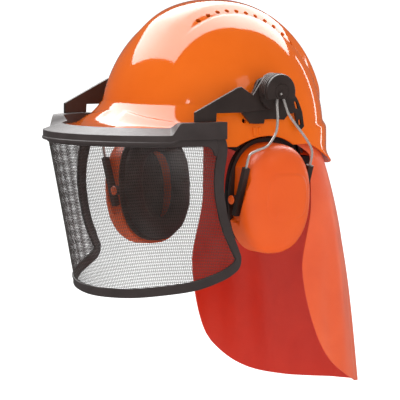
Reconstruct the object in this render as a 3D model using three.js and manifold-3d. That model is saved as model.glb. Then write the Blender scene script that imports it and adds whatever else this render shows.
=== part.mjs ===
// Forestry helmet combination: shell with harness, lifting mesh visor, ear muffs and neck cape.
// Millimetres. +X is the wearer's left, -Y is the front, +Z is up.
// The origin is the middle of the head opening, on the plane of the headband.

import * as THREE from 'three';
import { mergeVertices } from 'three/addons/utils/BufferGeometryUtils.js';
import Module from 'manifold-3d';

const wasm = await Module();
wasm.setup();

// ---------------------------------------------------------------- driving dimensions

const GAP = 0.3;

const SHELL = {
  halfWidth: 100, halfLength: 114, height: 133, wall: 2.8,
  planPower: 2.2, risePower: 2.1,
  wallTop: 36, peakReach: 158, peakHalfWidth: 97, peakPower: 2.6, peakZ: 13,
  peakStart: -61, peakEnd: -53,
  skirtZ: -5, archRise: 10, archCentre: -8, archHalf: 34, napeDrop: 24, flare: 2.2, lip: 4.5,
  ledge: 3.2, ledgeTop: 19, ledgeBottom: 6, sideHole: { y: -33.6, z: 19.6, radius: 2.4 },
};
const BAND = { halfWidth: 30, raise: 3.2, frontY: -84, rearY: 92, run: 30, edge: 8, spread: 0.0034 };
const VENT = { count: 12, firstY: -42, pitch: 12.6, closeUp: 0.29, x: 33.5, spread: 0.00385, radius: 2.4 };
const SPREAD_FROM_Y = -20;

const HUB = { y: -6, z: 48.5, radius: 18.4 };
const LAYER = {
  base: [101.5, 104], arm: [104.3, 107.4], turret: [107.7, 118], cap: [118.3, 122],
};
const ARM = {
  collar: 18.6, bore: 11.4, under: [[-103.5, 20.8], [-77, 20.8], [-76.5, 29], [-45, 28.6]],
  over: [[-30.5, 45.5], [-45, 54.3], [-50, 53.6], [-103.5, 31]],
};
const RECESS = { top: 41.5, back: 111.5 };
const YOKE = { x: 114.5, z: 43.5, radius: 1.3, frontY: -7, rearY: 3 };

const CUP = {
  x: 100, y: -5, z: -58, lean: 4, halfHeight: 55, halfWidth: 42, depth: 25, square: 0.86, press: 5.6,
};
const RING = {
  lift: 3.5, plate: [56, 42.5], plateHole: [36, 24], cushion: [56, 42], cushionHole: [30, 17],
};
const GUIDE = {
  slope: 20, out: 3, half: 40.2, wide: 5.6, thick: 6, top: 34, bottom: -17, hole: 3.9,
  eye: [-7, -3], eyeRadius: 4.6, eyeHole: 2.7,
};

const VISOR = {
  topZ: 5, bottomZ: -157.5,
  halfTop: 110.5, halfBottom: 116, centreTop: -76, centreBottom: -55,
  depthTop: 99, depthBottom: 72, bandSide: 13, bandFoot: 9.5, bandThick: 3.4, meshThick: 0.9,
};
const RIM = {
  lip: 4.4, lipBottom: -1.2, lipTop: 8, flange: 15, flangeTop: 14.7, wall: 2.4, reach: 94,
  block: { from: 60, to: 66, top: 20.5, bottom: 3.4, inner: 7.5, under: 8 },
};

const HEAD = {
  halfWidth: 79, halfLength: 97, bandThick: 2, low: 8, high: 34, napeDrop: 44, strapReach: 95,
  tailRadius: 64.5, tailCentreY: 30.5, ratchetZ: -11,
};
const CAPE = {
  thick: 1.6, topZ: -6, napeDip: 17, midY: 50, topHalf: 85.5, hemHalf: 93,
  topReach: 57, bulge: 31, hemReach: 116, frontZ: -178, hemZ: -250, bandDeep: 9,
  tabY: 38, tabRise: 4, edgeTopY: 58, edgeHemY: 45,
};

// ---------------------------------------------------------------- materials

const finish = (color, roughness, metalness = 0) =>
  new THREE.MeshStandardMaterial({ color, roughness, metalness, side: THREE.FrontSide });

const orangeGloss = finish(0xed6b23, 0.22);
const orangeSatin = finish(0xe8642a, 0.4);
const capeRed = finish(0xe4551e, 0.45);
const black = finish(0x2a2727, 0.5);
const meshBlack = finish(0x1c1c1c, 0.6);
const foam = finish(0x1f1f20, 0.9);
const webbing = finish(0x35353a, 0.85);
const steel = finish(0xcfcfcf, 0.25, 1);

// ---------------------------------------------------------------- small helpers

const radians = THREE.MathUtils.degToRad;
const mix = THREE.MathUtils.lerp;
const smooth = THREE.MathUtils.smoothstep;
const power = (value, p) => Math.sign(value) * Math.abs(value) ** p;

const model = new THREE.Group();
const add = (name, geometry, material, parent = model) => {
  geometry.computeVertexNormals();
  const mesh = new THREE.Mesh(geometry, material);
  mesh.name = name;
  parent.add(mesh);
  return mesh;
};

// Keeps only positions, merges equal corners and drops the triangles that shrink to a line.
function weld(geometry) {
  const bare = new THREE.BufferGeometry();
  bare.setAttribute('position', geometry.getAttribute('position').clone());
  if (geometry.index) bare.setIndex(geometry.index.clone());
  const merged = mergeVertices(bare, 1e-4);
  const kept = [];
  const index = merged.index.array;
  for (let i = 0; i < index.length; i += 3) {
    const [a, b, c] = [index[i], index[i + 1], index[i + 2]];
    if (a !== b && b !== c && c !== a) kept.push(a, b, c);
  }
  merged.setIndex(kept);
  return merged;
}

function solid(geometry) {
  const welded = weld(geometry);
  return new wasm.Manifold(new wasm.Mesh({
    numProp: 3,
    vertProperties: new Float32Array(welded.getAttribute('position').array),
    triVerts: new Uint32Array(welded.index.array),
  }));
}

function surface(body) {
  const mesh = body.getMesh();
  const geometry = new THREE.BufferGeometry();
  geometry.setAttribute('position', new THREE.BufferAttribute(new Float32Array(mesh.vertProperties), 3));
  geometry.setIndex(Array.from(mesh.triVerts));
  return geometry;
}

const cut = (geometry, ...tools) =>
  surface(tools.reduce((body, tool) => body.subtract(solid(tool)), solid(geometry)));
const join = (geometry, ...others) =>
  surface(others.reduce((body, other) => body.add(solid(other)), solid(geometry)));

// The same geometry reflected to the wearer's other side.
function mirrored(geometry) {
  const copy = weld(geometry);
  const position = copy.getAttribute('position');
  for (let i = 0; i < position.count; i++) position.setX(i, -position.getX(i));
  const index = copy.index.array;
  for (let i = 0; i < index.length; i += 3) [index[i], index[i + 1]] = [index[i + 1], index[i]];
  return copy;
}

// A grid of points becomes faces. Rows and columns can each run round and meet again.
function grid(rows, { roundRows = false, roundColumns = false, caps = false } = {}) {
  const wide = rows[0].length;
  const points = rows.flat().flat();
  const index = [];
  const at = (r, c) => (r % rows.length) * wide + (c % wide);
  const lastRow = roundRows ? rows.length : rows.length - 1;
  const lastColumn = roundColumns ? wide : wide - 1;
  for (let r = 0; r < lastRow; r++) {
    for (let c = 0; c < lastColumn; c++) {
      index.push(at(r, c), at(r, c + 1), at(r + 1, c + 1));
      index.push(at(r, c), at(r + 1, c + 1), at(r + 1, c));
    }
  }
  if (caps) {
    for (let c = 1; c < wide - 1; c++) {
      index.push(at(0, 0), at(0, c + 1), at(0, c));
      index.push(at(rows.length - 1, 0), at(rows.length - 1, c), at(rows.length - 1, c + 1));
    }
  }
  const geometry = new THREE.BufferGeometry();
  geometry.setAttribute('position', new THREE.Float32BufferAttribute(points, 3));
  geometry.setIndex(index);
  return outward(weld(geometry));
}

// Turns every face over if the closed surface encloses a negative volume.
function outward(geometry) {
  const p = geometry.getAttribute('position');
  const index = geometry.index.array;
  const [a, b, c] = [new THREE.Vector3(), new THREE.Vector3(), new THREE.Vector3()];
  let volume = 0;
  for (let i = 0; i < index.length; i += 3) {
    a.fromBufferAttribute(p, index[i]);
    b.fromBufferAttribute(p, index[i + 1]);
    c.fromBufferAttribute(p, index[i + 2]);
    volume += a.dot(b.cross(c));
  }
  if (volume < 0) {
    for (let i = 0; i < index.length; i += 3) [index[i], index[i + 1]] = [index[i + 1], index[i]];
  }
  return geometry;
}

// An outline drawn in (Y, Z), made solid between two X planes.
function plateX(outline, [low, high], holes = []) {
  const shape = new THREE.Shape(outline.map(([y, z]) => new THREE.Vector2(y, z)));
  for (const hole of holes) shape.holes.push(new THREE.Path(hole.map(([y, z]) => new THREE.Vector2(y, z))));
  const depth = high - low;
  const body = new THREE.ExtrudeGeometry(shape, { depth, bevelEnabled: false, curveSegments: 12 });
  const turn = new THREE.Matrix4().set(0, 0, 1, low, 1, 0, 0, 0, 0, 1, 0, 0, 0, 0, 0, 1);
  return weld(body.applyMatrix4(turn));
}

const box = ([x0, x1], [y0, y1], [z0, z1]) =>
  weld(new THREE.BoxGeometry(x1 - x0, y1 - y0, z1 - z0)
    .translate((x0 + x1) / 2, (y0 + y1) / 2, (z0 + z1) / 2));

const ring = (cy, cz, radius, count, start = 0) =>
  Array.from({ length: count }, (_, i) => {
    const a = start + (i / count) * 2 * Math.PI;
    return [cy + radius * Math.cos(a), cz + radius * Math.sin(a)];
  });

// A turned piece: profile of (radius, along) pairs, its axis laid along the given direction.
function turned(profile, sides, axis, place) {
  const lathe = new THREE.LatheGeometry(profile.map(([r, h]) => new THREE.Vector2(r, h)), sides);
  const turn = new THREE.Quaternion().setFromUnitVectors(new THREE.Vector3(0, 1, 0), axis);
  return outward(weld(lathe.applyQuaternion(turn).translate(...place)));
}

const peg = (radius, length) => [[0, 0], [radius, 0], [radius, length], [0, length]];
const alongX = new THREE.Vector3(1, 0, 0);
const alongY = new THREE.Vector3(0, 1, 0);

// A round wire along a smooth curve through the points.
function wire(points, radius, steps, sides = 8, tension = 0.5) {
  const nodes = points.map((p) => new THREE.Vector3(...p));
  const path = new THREE.CatmullRomCurve3(nodes, false, 'catmullrom', tension);
  const section = new THREE.Shape(ring(0, 0, radius, sides).map(([y, z]) => new THREE.Vector2(y, z)));
  return weld(new THREE.ExtrudeGeometry(section, { steps, extrudePath: path, bevelEnabled: false }));
}

// ---------------------------------------------------------------- helmet shell

// Height of the lower edge, from the ear arch round to the nape.
function rimZ(y) {
  const arch = Math.max(0, 1 - ((y - SHELL.archCentre) / SHELL.archHalf) ** 2);
  return SHELL.skirtZ + SHELL.archRise * arch - SHELL.napeDrop * smooth(y, 44, 112);
}

// How much each plan circle shrinks at a height, for an offset of the whole surface.
function levelScale(z, grow) {
  const t = Math.min(1, Math.max(0, z) / (SHELL.height + grow));
  return (1 - t ** SHELL.risePower) ** (1 / SHELL.risePower);
}

// Plan direction of a column: unit superellipse, 0 at the front, running to the wearer's left.
function planPoint(angle) {
  const p = 2 / SHELL.planPower;
  return [power(Math.sin(angle), p), -power(Math.cos(angle), p)];
}

// The crown's raised band and its rows of vents spread apart towards the back.
const spread = (y, rate) => rate * Math.max(0, y - SPREAD_FROM_Y) ** 2;

function bandRaise(x, y) {
  const { frontY, rearY, run, halfWidth, edge, raise } = BAND;
  const along = smooth(y, frontY, frontY + run) * (1 - smooth(y, rearY - run, rearY));
  const wide = halfWidth + spread(y, BAND.spread);
  return raise * along * (1 - smooth(Math.abs(x), wide - edge, wide));
}

const WALL_ROWS = 5;
const DOME_ROWS = 10;

// One surface of the shell, grown by an offset, as rows from the lower edge to the crown.
function shellRows(grow, columns) {
  const rows = [];
  for (let k = 0; k < WALL_ROWS; k++) {
    rows.push(columns.map((angle) => wallPoint(angle, k / WALL_ROWS, grow)));
  }
  const start = Math.asin((SHELL.wallTop / (SHELL.height + grow)) ** (SHELL.risePower / 2));
  for (let j = 0; j < DOME_ROWS; j++) {
    const rise = mix(start, Math.PI / 2, j / DOME_ROWS);
    rows.push(columns.map((angle) => domePoint(angle, rise, grow)));
  }
  const crown = SHELL.height + grow + BAND.raise;
  rows.push(columns.map(() => [0, 0, crown]));
  return rows;
}

function domePoint(angle, rise, grow) {
  const [px, py] = planPoint(angle);
  const p = 2 / SHELL.risePower;
  const scale = Math.cos(rise) ** p;
  const x = px * scale * (SHELL.halfWidth + grow);
  const y = py * scale * (SHELL.halfLength + grow);
  const z = Math.sin(rise) ** p * (SHELL.height + grow);
  return [x, y, z + bandRaise(x, y)];
}

// Below the dome: a wall at the sides and back, and the peak's hollow sweep at the front.
function wallPoint(angle, t, grow) {
  const [px, py] = planPoint(angle);
  const y0 = py * SHELL.halfLength;
  const peak = 1 - smooth(y0, SHELL.peakStart, SHELL.peakEnd);
  const lower = mix(rimZ(y0), SHELL.wallTop, t);
  const scale = levelScale(lower, grow);
  const behind = smooth(y0, 40, 80);
  const ledge = SHELL.ledge * behind * (1 - smooth(lower, SHELL.ledgeBottom, SHELL.ledgeTop));
  const lip = t === 0 ? SHELL.lip * smooth(y0, 62, 98) : 0;
  const flare = SHELL.flare * (1 - t) ** 2 * (1 - behind) + ledge + lip;
  const wall = [
    px * (scale * (SHELL.halfWidth + grow) + flare),
    py * (scale * (SHELL.halfLength + grow) + flare),
    lower,
  ];
  const q = 2 / SHELL.peakPower;
  const thinner = Math.min(0, grow) * 0.4;
  const edge = [
    power(Math.sin(angle), q) * (SHELL.peakHalfWidth + thinner),
    -power(Math.max(0, Math.cos(angle)), q) * (SHELL.peakReach + thinner),
    SHELL.peakZ + grow,
  ];
  const topScale = levelScale(SHELL.wallTop, grow);
  const dome = [
    px * topScale * (SHELL.halfWidth + grow),
    py * topScale * (SHELL.halfLength + grow),
    SHELL.wallTop,
  ];
  const sweep = [
    mix(edge[0], dome[0], t),
    mix(edge[1], dome[1], t),
    mix(edge[2], dome[2], t ** 2.2),
  ];
  return wall.map((value, i) => mix(value, sweep[i], peak));
}

const shellColumns = [];
for (let i = 0; i < 52; i++) shellColumns.push((i / 52) * 2 * Math.PI);

function shellGeometry() {
  const outside = shellRows(0, shellColumns);
  const inside = shellRows(-SHELL.wall, shellColumns).reverse();
  const body = grid([...outside, ...inside], { roundRows: true, roundColumns: true });
  const cutters = [];
  for (const side of [1, -1]) {
    for (let i = 0; i < VENT.count; i++) {
      const y = VENT.firstY + VENT.pitch * i - VENT.closeUp * i * i;
      const x = VENT.x + spread(y, VENT.spread);
      const lean = new THREE.Vector3(side * x, y, SHELL.height / 2).normalize();
      cutters.push(turned(peg(VENT.radius, 90), 6, lean, [side * x * 0.5, y * 0.5, ventStart(x, y)]));
    }
    const { y, z, radius } = SHELL.sideHole;
    cutters.push(turned(peg(radius, 30), 8, alongX, [side * 95 - 15, y, z]));
  }
  return cut(body, ...cutters);
}

// Height at which a vent's drill starts, half way in from the surface it will pass through.
function ventStart(x, y) {
  const plan = (x / SHELL.halfWidth) ** 2 + (y / SHELL.halfLength) ** 2;
  return SHELL.height * Math.sqrt(Math.max(0, 1 - plan)) - SHELL.height / 4;
}

// The outside of the shell as a filled body, used to trim what stands against it.
function shellFilled(grow) {
  const rows = shellRows(grow, shellColumns);
  const floor = rows[0].map(([, , z]) => [0, 0, z - 40]);
  return grid([floor.map(() => [0, 0, -60]), ...rows], { roundColumns: true });
}

// ---------------------------------------------------------------- visor

// A point of the visor's curved sheet. Angle 0 is the front, 90 the wearer's left.
function visorPoint(angle, z, off = 0) {
  const t = (VISOR.topZ - z) / (VISOR.topZ - VISOR.bottomZ);
  const a = mix(VISOR.halfTop, VISOR.halfBottom, t) + off;
  const b = mix(VISOR.depthTop, VISOR.depthBottom, t) + off;
  const centre = mix(VISOR.centreTop, VISOR.centreBottom, t);
  return [a * Math.sin(radians(angle)), centre - b * Math.cos(radians(angle)), z];
}

// Half of the sheet's outline, as (angle, height), from the top corner round to the front middle.
const VISOR_EDGE = [
  [94, 5], [94.6, -8], [90, -32], [88, -54], [89.6, -82], [94.6, -106], [96.2, -115],
  [93.5, -125], [86, -132], [76, -138.3], [58, -147], [38, -152.5], [18, -156.5], [0, -157.5],
];

const edgeCurve = new THREE.CatmullRomCurve3(
  [...VISOR_EDGE, ...VISOR_EDGE.slice(0, -1).reverse().map(([a, z]) => [-a, z])]
    .map(([a, z]) => new THREE.Vector3(a, z, 0)),
);

// The outline moved inwards by a distance measured on the sheet.
function edgeInset(u, distance) {
  const p = edgeCurve.getPointAt(u);
  const tangent = edgeCurve.getTangentAt(u);
  const perDegree = radians(1) * VISOR.halfTop;
  const normal = new THREE.Vector2(tangent.y, -tangent.x * perDegree).normalize();
  return [p.x + (normal.x * distance) / perDegree, Math.min(VISOR.topZ, p.y + normal.y * distance)];
}

const EDGE_STEPS = 44;

// The edging is broad down the two sides and narrower along the foot.
const bandWidth = (z) => mix(VISOR.bandFoot, VISOR.bandSide, smooth(z, -130, -85));

function edgeFrame() {
  const half = VISOR.bandThick / 2;
  const rows = [];
  for (let i = 0; i <= EDGE_STEPS; i++) {
    const u = i / EDGE_STEPS;
    const outer = edgeInset(u, 0);
    const inner = edgeInset(u, bandWidth(outer[1]));
    rows.push([
      visorPoint(...outer, half), visorPoint(...inner, half),
      visorPoint(...inner, -half), visorPoint(...outer, -half),
    ]);
  }
  return grid(rows, { roundColumns: true, caps: true });
}

function visorSheet() {
  const loop = [];
  for (let i = 0; i <= EDGE_STEPS; i++) {
    const [, z] = edgeInset(i / EDGE_STEPS, 0);
    loop.push(edgeInset(i / EDGE_STEPS, bandWidth(z) + GAP));
  }
  const [left, right] = [loop[loop.length - 1], loop[0]];
  const topRow = 16;
  for (let i = 1; i < topRow; i++) {
    loop.push([mix(left[0], right[0], i / topRow), mix(left[1], right[1], i / topRow)]);
  }
  const middle = [0, -66];
  const shrink = [1, 0.75, 0.5, 0.25, 0];
  const half = VISOR.meshThick / 2;
  const side = (off) => shrink.map((s) =>
    loop.map(([a, z]) => visorPoint(mix(middle[0], a, s), mix(middle[1], z, s), off)));
  return grid([...side(half).reverse(), ...side(-half)], { roundColumns: true });
}

// The stiff top rim: a lip round the outside and a flange that slopes up to the shell's peak.
function visorRim() {
  const rows = [];
  const steps = 36;
  for (let i = 0; i <= steps; i++) {
    const angle = mix(-RIM.reach, RIM.reach, i / steps);
    const end = smooth(Math.abs(angle), RIM.block.from, RIM.block.to);
    const at = (off, z) => visorPoint(angle, VISOR.topZ, off).slice(0, 2).concat(z);
    const inner = mix(-RIM.flange, -RIM.block.inner, end);
    const high = mix(RIM.flangeTop, RIM.block.top, end);
    const low = mix(RIM.lipBottom, RIM.block.bottom, end);
    const shoulder = mix(RIM.lipTop, RIM.block.top, end);
    const under = mix(RIM.lipTop - RIM.wall, RIM.block.under, end);
    rows.push([
      at(RIM.lip, low), at(RIM.lip, shoulder), at(inner, high),
      at(inner, mix(RIM.flangeTop - RIM.wall, RIM.block.under, end)), at(RIM.lip - RIM.wall, under),
      at(RIM.lip - RIM.wall, low),
    ]);
  }
  return grid(rows, { roundColumns: true, caps: true });
}

// The arm's (Y, Z) outline: along its lower side, round the hub, and back along the top.
const armOutline = (() => {
  const collar = [];
  for (let degrees = -105; degrees <= 125; degrees += 15) {
    const a = radians(degrees);
    collar.push([HUB.y + ARM.collar * Math.cos(a), HUB.z + ARM.collar * Math.sin(a)]);
  }
  return [...ARM.under, ...collar, ...ARM.over];
})();

function visorArm() {
  return plateX(armOutline, LAYER.arm, [ring(HUB.y, HUB.z, ARM.bore, 20).reverse()]);
}

// ---------------------------------------------------------------- muff bracket and hub

function bracketBase() {
  const outline = [
    [-42, 28], [-31, 17], [-14.5, 16.5], [-13.3, 21.5], [11, 19.5], [17, 25], [25, 26], [28.5, 11],
    [32.5, 8.5], [36.5, 12], [34, 27], [29, 38], [19, 52], [10, 62], [-6, 66.5], [-21, 60], [-29, 47],
  ];
  const slots = [
    [[26, 30], [29.5, 30], [27, 37], [23.5, 37]],
    [[30, 13], [33.2, 14], [32, 19.5], [29, 18.5]],
  ];
  const plate = plateX(outline, LAYER.base, slots);
  const boss = turned(peg(13, 16), 20, alongX, [88.2, HUB.y, HUB.z]);
  const foot = box([96, 101.7], [-14, 9], [20.5, 27]);
  const neck = turned(peg(11, 3.3), 20, alongX, [103.9, HUB.y, HUB.z]);
  return cut(join(plate, boss, foot, neck), shellFilled(0.35));
}

// A disc of the hub between two X planes, with its lower part cut away where the wires pass.
function hubDisc([low, high], radius, ...tools) {
  return cut(turned(peg(radius, high - low), 36, alongX, [low, HUB.y, HUB.z]), ...tools);
}

const wirePocket = box([RECESS.back, 140], [-60, 60], [0, RECESS.top]);
const wireSlot = box([RECESS.back + 0.5, 117.2], [-60, 60], [RECESS.top - 1, YOKE.z + 2.3]);

// One bent wire: down the front side, along the hub's slot, and down the rear side.
function yokeWire() {
  const slope = Math.tan(radians(GUIDE.slope));
  const legX = (z) => CUP.x + GUIDE.out + (z - CUP.z) * slope;
  const front = CUP.y - GUIDE.half;
  const rear = CUP.y + GUIDE.half;
  const points = [
    [legX(-66), front, -66], [legX(-42), front, -42], [legX(-18), front, -18],
    [118.6, front + 2.5, -12], [120.5, front + 10, -8.5], [121.3, -23, -4], [120.6, -12.5, 8],
    [118.5, -8.5, 22], [115.4, YOKE.frontY, 36], [YOKE.x, YOKE.frontY + 1.6, 42.6],
    [YOKE.x, (YOKE.frontY + YOKE.rearY) / 2, YOKE.z], [YOKE.x, YOKE.rearY - 1.6, 42.6],
    [115.4, YOKE.rearY, 36], [118, 5.5, 26], [118.8, 11.5, 18], [118.6, 19, 10], [118.4, 28, 0],
    [118, rear - 1, -9], [legX(-18), rear, -18], [legX(-42), rear, -42], [legX(-66), rear, -66],
  ];
  return wire(points, YOKE.radius, 52, 6, 0.4);
}

// ---------------------------------------------------------------- ear cup, in its own frame

// Oval rings: half height along Z, half width along Y, at a distance along X.
function ovalRow(x, halfHeight, halfWidth, count) {
  return Array.from({ length: count }, (_, i) => {
    const a = (i / count) * 2 * Math.PI;
    return [x, halfWidth * power(Math.cos(a), CUP.square), halfHeight * power(Math.sin(a), CUP.square)];
  });
}

const point = (x, count) => Array.from({ length: count }, () => [x, 0, 0]);

function earCup() {
  const n = 28;
  const { halfHeight: h, halfWidth: w, depth: d } = CUP;
  const outside = [
    ovalRow(-10, h, w, n), ovalRow(2, h, w, n), ovalRow(10, h - 1.2, w - 1, n),
    ovalRow(17, h - 4.5, w - 4, n), ovalRow(21.5, h - 10, w - 9, n), ovalRow(24, h - 20, w - 16, n),
    ovalRow(d, h - 34, w - 26, n), point(d, n),
  ];
  const inside = [
    point(d - 4, n), ovalRow(d - 4, h - 36, w - 27, n), ovalRow(16, h - 16, w - 16, n),
    ovalRow(4, h - 12, w - 12.5, n), ovalRow(-10, h - 12, w - 12.5, n),
  ];
  const body = grid([...outside, ...inside], { roundRows: true, roundColumns: true });
  const lean = new THREE.Matrix4().makeRotationY(radians(GUIDE.slope - CUP.lean));
  const grooves = [1, -1].map((side) => {
    const floor = side * (w - CUP.press);
    const beyond = side * (w + 12);
    const across = [Math.min(floor, beyond), Math.max(floor, beyond)];
    return box([-26, 9.8], across, [-22, 80]).applyMatrix4(lean);
  });
  return cut(body, ...grooves);
}

// A flat or rounded ring round the ear, set a little above the cup's middle.
function ovalRing([low, high], outer, inner, round = 0) {
  const n = 28;
  const middle = (low + high) / 2;
  const rows = [ovalRow(low, outer[0] - round, outer[1] - round, n)];
  if (round) rows.push(ovalRow(middle, outer[0], outer[1], n));
  rows.push(ovalRow(high, outer[0] - round, outer[1] - round, n));
  rows.push(ovalRow(high, inner[0] + round, inner[1] + round, n));
  if (round) rows.push(ovalRow(middle, inner[0], inner[1], n));
  rows.push(ovalRow(low, inner[0] + round, inner[1] + round, n));
  return grid(rows, { roundRows: true, roundColumns: true }).translate(0, 0, RING.lift);
}

function foamLiner() {
  const n = 24;
  return grid([
    point(3, n), ovalRow(3, 40, 26, n), ovalRow(9, 39, 25, n), point(9, n),
  ], { roundColumns: true });
}

// The channel that grips one leg of the wire, with a round eye for the cup's button.
function guideBar(side) {
  const { wide, thick, top, bottom, hole, half } = GUIDE;
  const y = side * half;
  const bar = box([-wide / 2, wide / 2], [y - thick / 2, y + thick / 2], [bottom, top]);
  const [eyeX, eyeZ] = GUIDE.eye;
  const eye = turned(peg(GUIDE.eyeRadius, thick - 1.2), 16, alongY, [eyeX, y - thick / 2 + 0.6, eyeZ]);
  const web = box([eyeX, 0], [y - thick / 2 + 0.6, y + thick / 2 - 0.6], [eyeZ - 3.6, eyeZ + 3.6]);
  const channel = box([-hole / 2, hole / 2], [y - hole / 2, y + hole / 2], [bottom - 1, top + 1]);
  const eyeHole = turned(peg(GUIDE.eyeHole, 12), 12, alongY, [eyeX, y - 6, eyeZ]);
  return cut(join(bar, eye, web), channel, eyeHole);
}

// Turns on the guide's eye, whose place is turned here into the upright frame.
function pivotButton(side) {
  const [eyeX, eyeZ] = GUIDE.eye;
  const eye = new THREE.Vector3(eyeX, 0, eyeZ).applyAxisAngle(alongY, radians(GUIDE.slope));
  const profile = [[0, 0], [2.4, 0], [2.4, 6.9], [4.6, 6.9], [4.6, 8], [3, 9], [0, 9.4]];
  const direction = new THREE.Vector3(0, side, 0);
  const start = side * (CUP.halfWidth - CUP.press + GAP);
  return turned(profile, 16, direction, [eye.x + GUIDE.out, start, eye.z]);
}

// ---------------------------------------------------------------- harness

function headRing(z0, z1, inset, thick, from, to, steps, frontRise = 0) {
  const rows = [];
  for (let i = 0; i <= steps; i++) {
    const a = radians(mix(from, to, i / steps));
    const at = (r, z) => [(HEAD.halfWidth + r) * Math.sin(a), -(HEAD.halfLength + r) * Math.cos(a), z];
    const lift = frontRise * Math.max(0, Math.cos(a)) ** 2;
    const drop = -HEAD.napeDrop * Math.max(0, -Math.cos(a)) ** 2;
    rows.push([
      at(-inset, z0 + drop), at(-inset + thick, z0 + drop), at(-inset + thick, z1 + lift + drop),
      at(-inset, z1 + lift + drop),
    ]);
  }
  return grid(rows, { roundColumns: true, caps: true });
}

// A flat webbing strap over the crown from one clip to the opposite one.
function crownStrap(heading, topZ) {
  const rows = [];
  const steps = 24;
  const direction = new THREE.Vector2(Math.sin(radians(heading)), -Math.cos(radians(heading)));
  const across = new THREE.Vector2(-direction.y, direction.x);
  for (let i = 0; i <= steps; i++) {
    const a = radians(mix(-90, 90, i / steps));
    const centre = direction.clone().multiplyScalar(HEAD.strapReach * Math.sin(a));
    const z = 20 + (topZ - 20) * Math.cos(a) ** 0.8;
    const tip = new THREE.Vector2(Math.sin(a) * 1.2, Math.cos(a) * 1.2);
    const at = (w, n) => [
      centre.x + across.x * w + direction.x * tip.x * n,
      centre.y + across.y * w + direction.y * tip.x * n,
      z + tip.y * n,
    ];
    rows.push([at(-10, 0), at(10, 0), at(10, 1), at(-10, 1)]);
  }
  return grid(rows, { roundColumns: true, caps: true });
}

function crownClip(heading) {
  const turn = new THREE.Matrix4().makeRotationZ(radians(heading));
  const body = join(
    box([-11, 11], [-100, -96.6], [8, 30]),
    box([-6, 6], [-101.6, -99.8], [12, 24]),
  );
  return body.applyMatrix4(turn);
}

// The band's tail, an arc about the nape's centre line, at its own height in the housing.
function rackTail(side, z0, z1) {
  const rows = [];
  const steps = 12;
  for (let i = 0; i <= steps; i++) {
    const a = radians(side * mix(-5, 51, i / steps));
    const at = (r, z) => [r * Math.sin(a), HEAD.tailCentreY + r * Math.cos(a), HEAD.ratchetZ + z];
    rows.push([
      at(HEAD.tailRadius, z0), at(HEAD.tailRadius + 1.6, z0), at(HEAD.tailRadius + 1.6, z1),
      at(HEAD.tailRadius, z1),
    ]);
  }
  return grid(rows, { roundColumns: true, caps: true });
}

function ratchetHousing() {
  const rows = [];
  const steps = 10;
  for (let i = 0; i <= steps; i++) {
    const a = radians(mix(-21, 21, i / steps));
    const at = (r, z) => [r * Math.sin(a), HEAD.tailCentreY + r * Math.cos(a), HEAD.ratchetZ + z];
    const inner = HEAD.tailRadius - 2.6;
    const outer = HEAD.tailRadius + 4.2;
    rows.push([at(inner, -14), at(outer, -14), at(outer, 14), at(inner, 14)]);
  }
  const body = grid(rows, { roundColumns: true, caps: true });
  const channel = [];
  for (let i = 0; i <= steps; i++) {
    const a = radians(mix(-24, 24, i / steps));
    const at = (r, z) => [r * Math.sin(a), HEAD.tailCentreY + r * Math.cos(a), HEAD.ratchetZ + z];
    const inner = HEAD.tailRadius - 0.4;
    const outer = HEAD.tailRadius + 2;
    channel.push([at(inner, -10.5), at(outer, -10.5), at(outer, 10.5), at(inner, 10.5)]);
  }
  const bore = turned(peg(3.2, 12), 16, alongY, [0, HEAD.tailCentreY + HEAD.tailRadius + 1, HEAD.ratchetZ]);
  return cut(body, grid(channel, { roundColumns: true, caps: true }), bore);
}

// ---------------------------------------------------------------- neck cape

// s runs from the wearer's right edge to the left, t from the top seam to the hem.
function capePoint(s, t, off) {
  const angle = s * Math.PI / 2;
  const side = Math.abs(s);
  const drop = 1 - t;
  const half = mix(CAPE.hemHalf, CAPE.topHalf, drop ** 0.8) + off;
  const straight = (CAPE.hemReach - CAPE.topReach - CAPE.bulge) * t;
  const reach = CAPE.topReach + CAPE.bulge * (1 - drop ** 4) + straight + off;
  const below = mix(CAPE.edgeTopY, CAPE.edgeHemY, smooth(t, 0.35, 0.75));
  const edgeY = mix(CAPE.tabY, below, smooth(t, 0, 0.1)) - CAPE.midY;
  const sides = CAPE.tabRise * smooth(side, 0.8, 0.97);
  const topZ = CAPE.topZ + sides - CAPE.napeDip * smooth(1 - side, 0.15, 0.75);
  const hemZ = mix(CAPE.hemZ, CAPE.frontZ, side ** 5);
  const y = CAPE.midY + reach * Math.cos(angle) + edgeY * side ** 6;
  return [half * Math.sin(angle), y, mix(topZ, hemZ, t)];
}

function cape() {
  const [wide, tall] = [22, 8];
  const sheet = (off) => Array.from({ length: tall + 1 }, (_, j) =>
    Array.from({ length: wide + 1 }, (_, i) => capePoint(mix(-1, 1, i / wide), j / tall, off)));
  const out = sheet(CAPE.thick / 2);
  const back = sheet(-CAPE.thick / 2);
  const rows = out.map((row, j) => [...row, ...back[j].slice().reverse()]);
  const folded = (j) => [...back[j], ...back[j].slice().reverse()];
  return grid([folded(0), ...rows, folded(tall)], { roundColumns: true });
}

function capeBand() {
  const rows = [];
  const steps = 24;
  for (let i = 0; i <= steps; i++) {
    const s = mix(-0.9, 0.9, i / steps);
    const inner = capePoint(s, 0, -3.4).slice(0, 2);
    const outer = capePoint(s, 0, -1.2).slice(0, 2);
    const top = capePoint(s, 0, 0)[2];
    rows.push([
      [...inner, top - CAPE.bandDeep], [...outer, top - CAPE.bandDeep], [...outer, top], [...inner, top],
    ]);
  }
  return grid(rows, { roundColumns: true, caps: true });
}

// ---------------------------------------------------------------- assembly

add('helmet_shell', shellGeometry(), orangeGloss);

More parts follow.
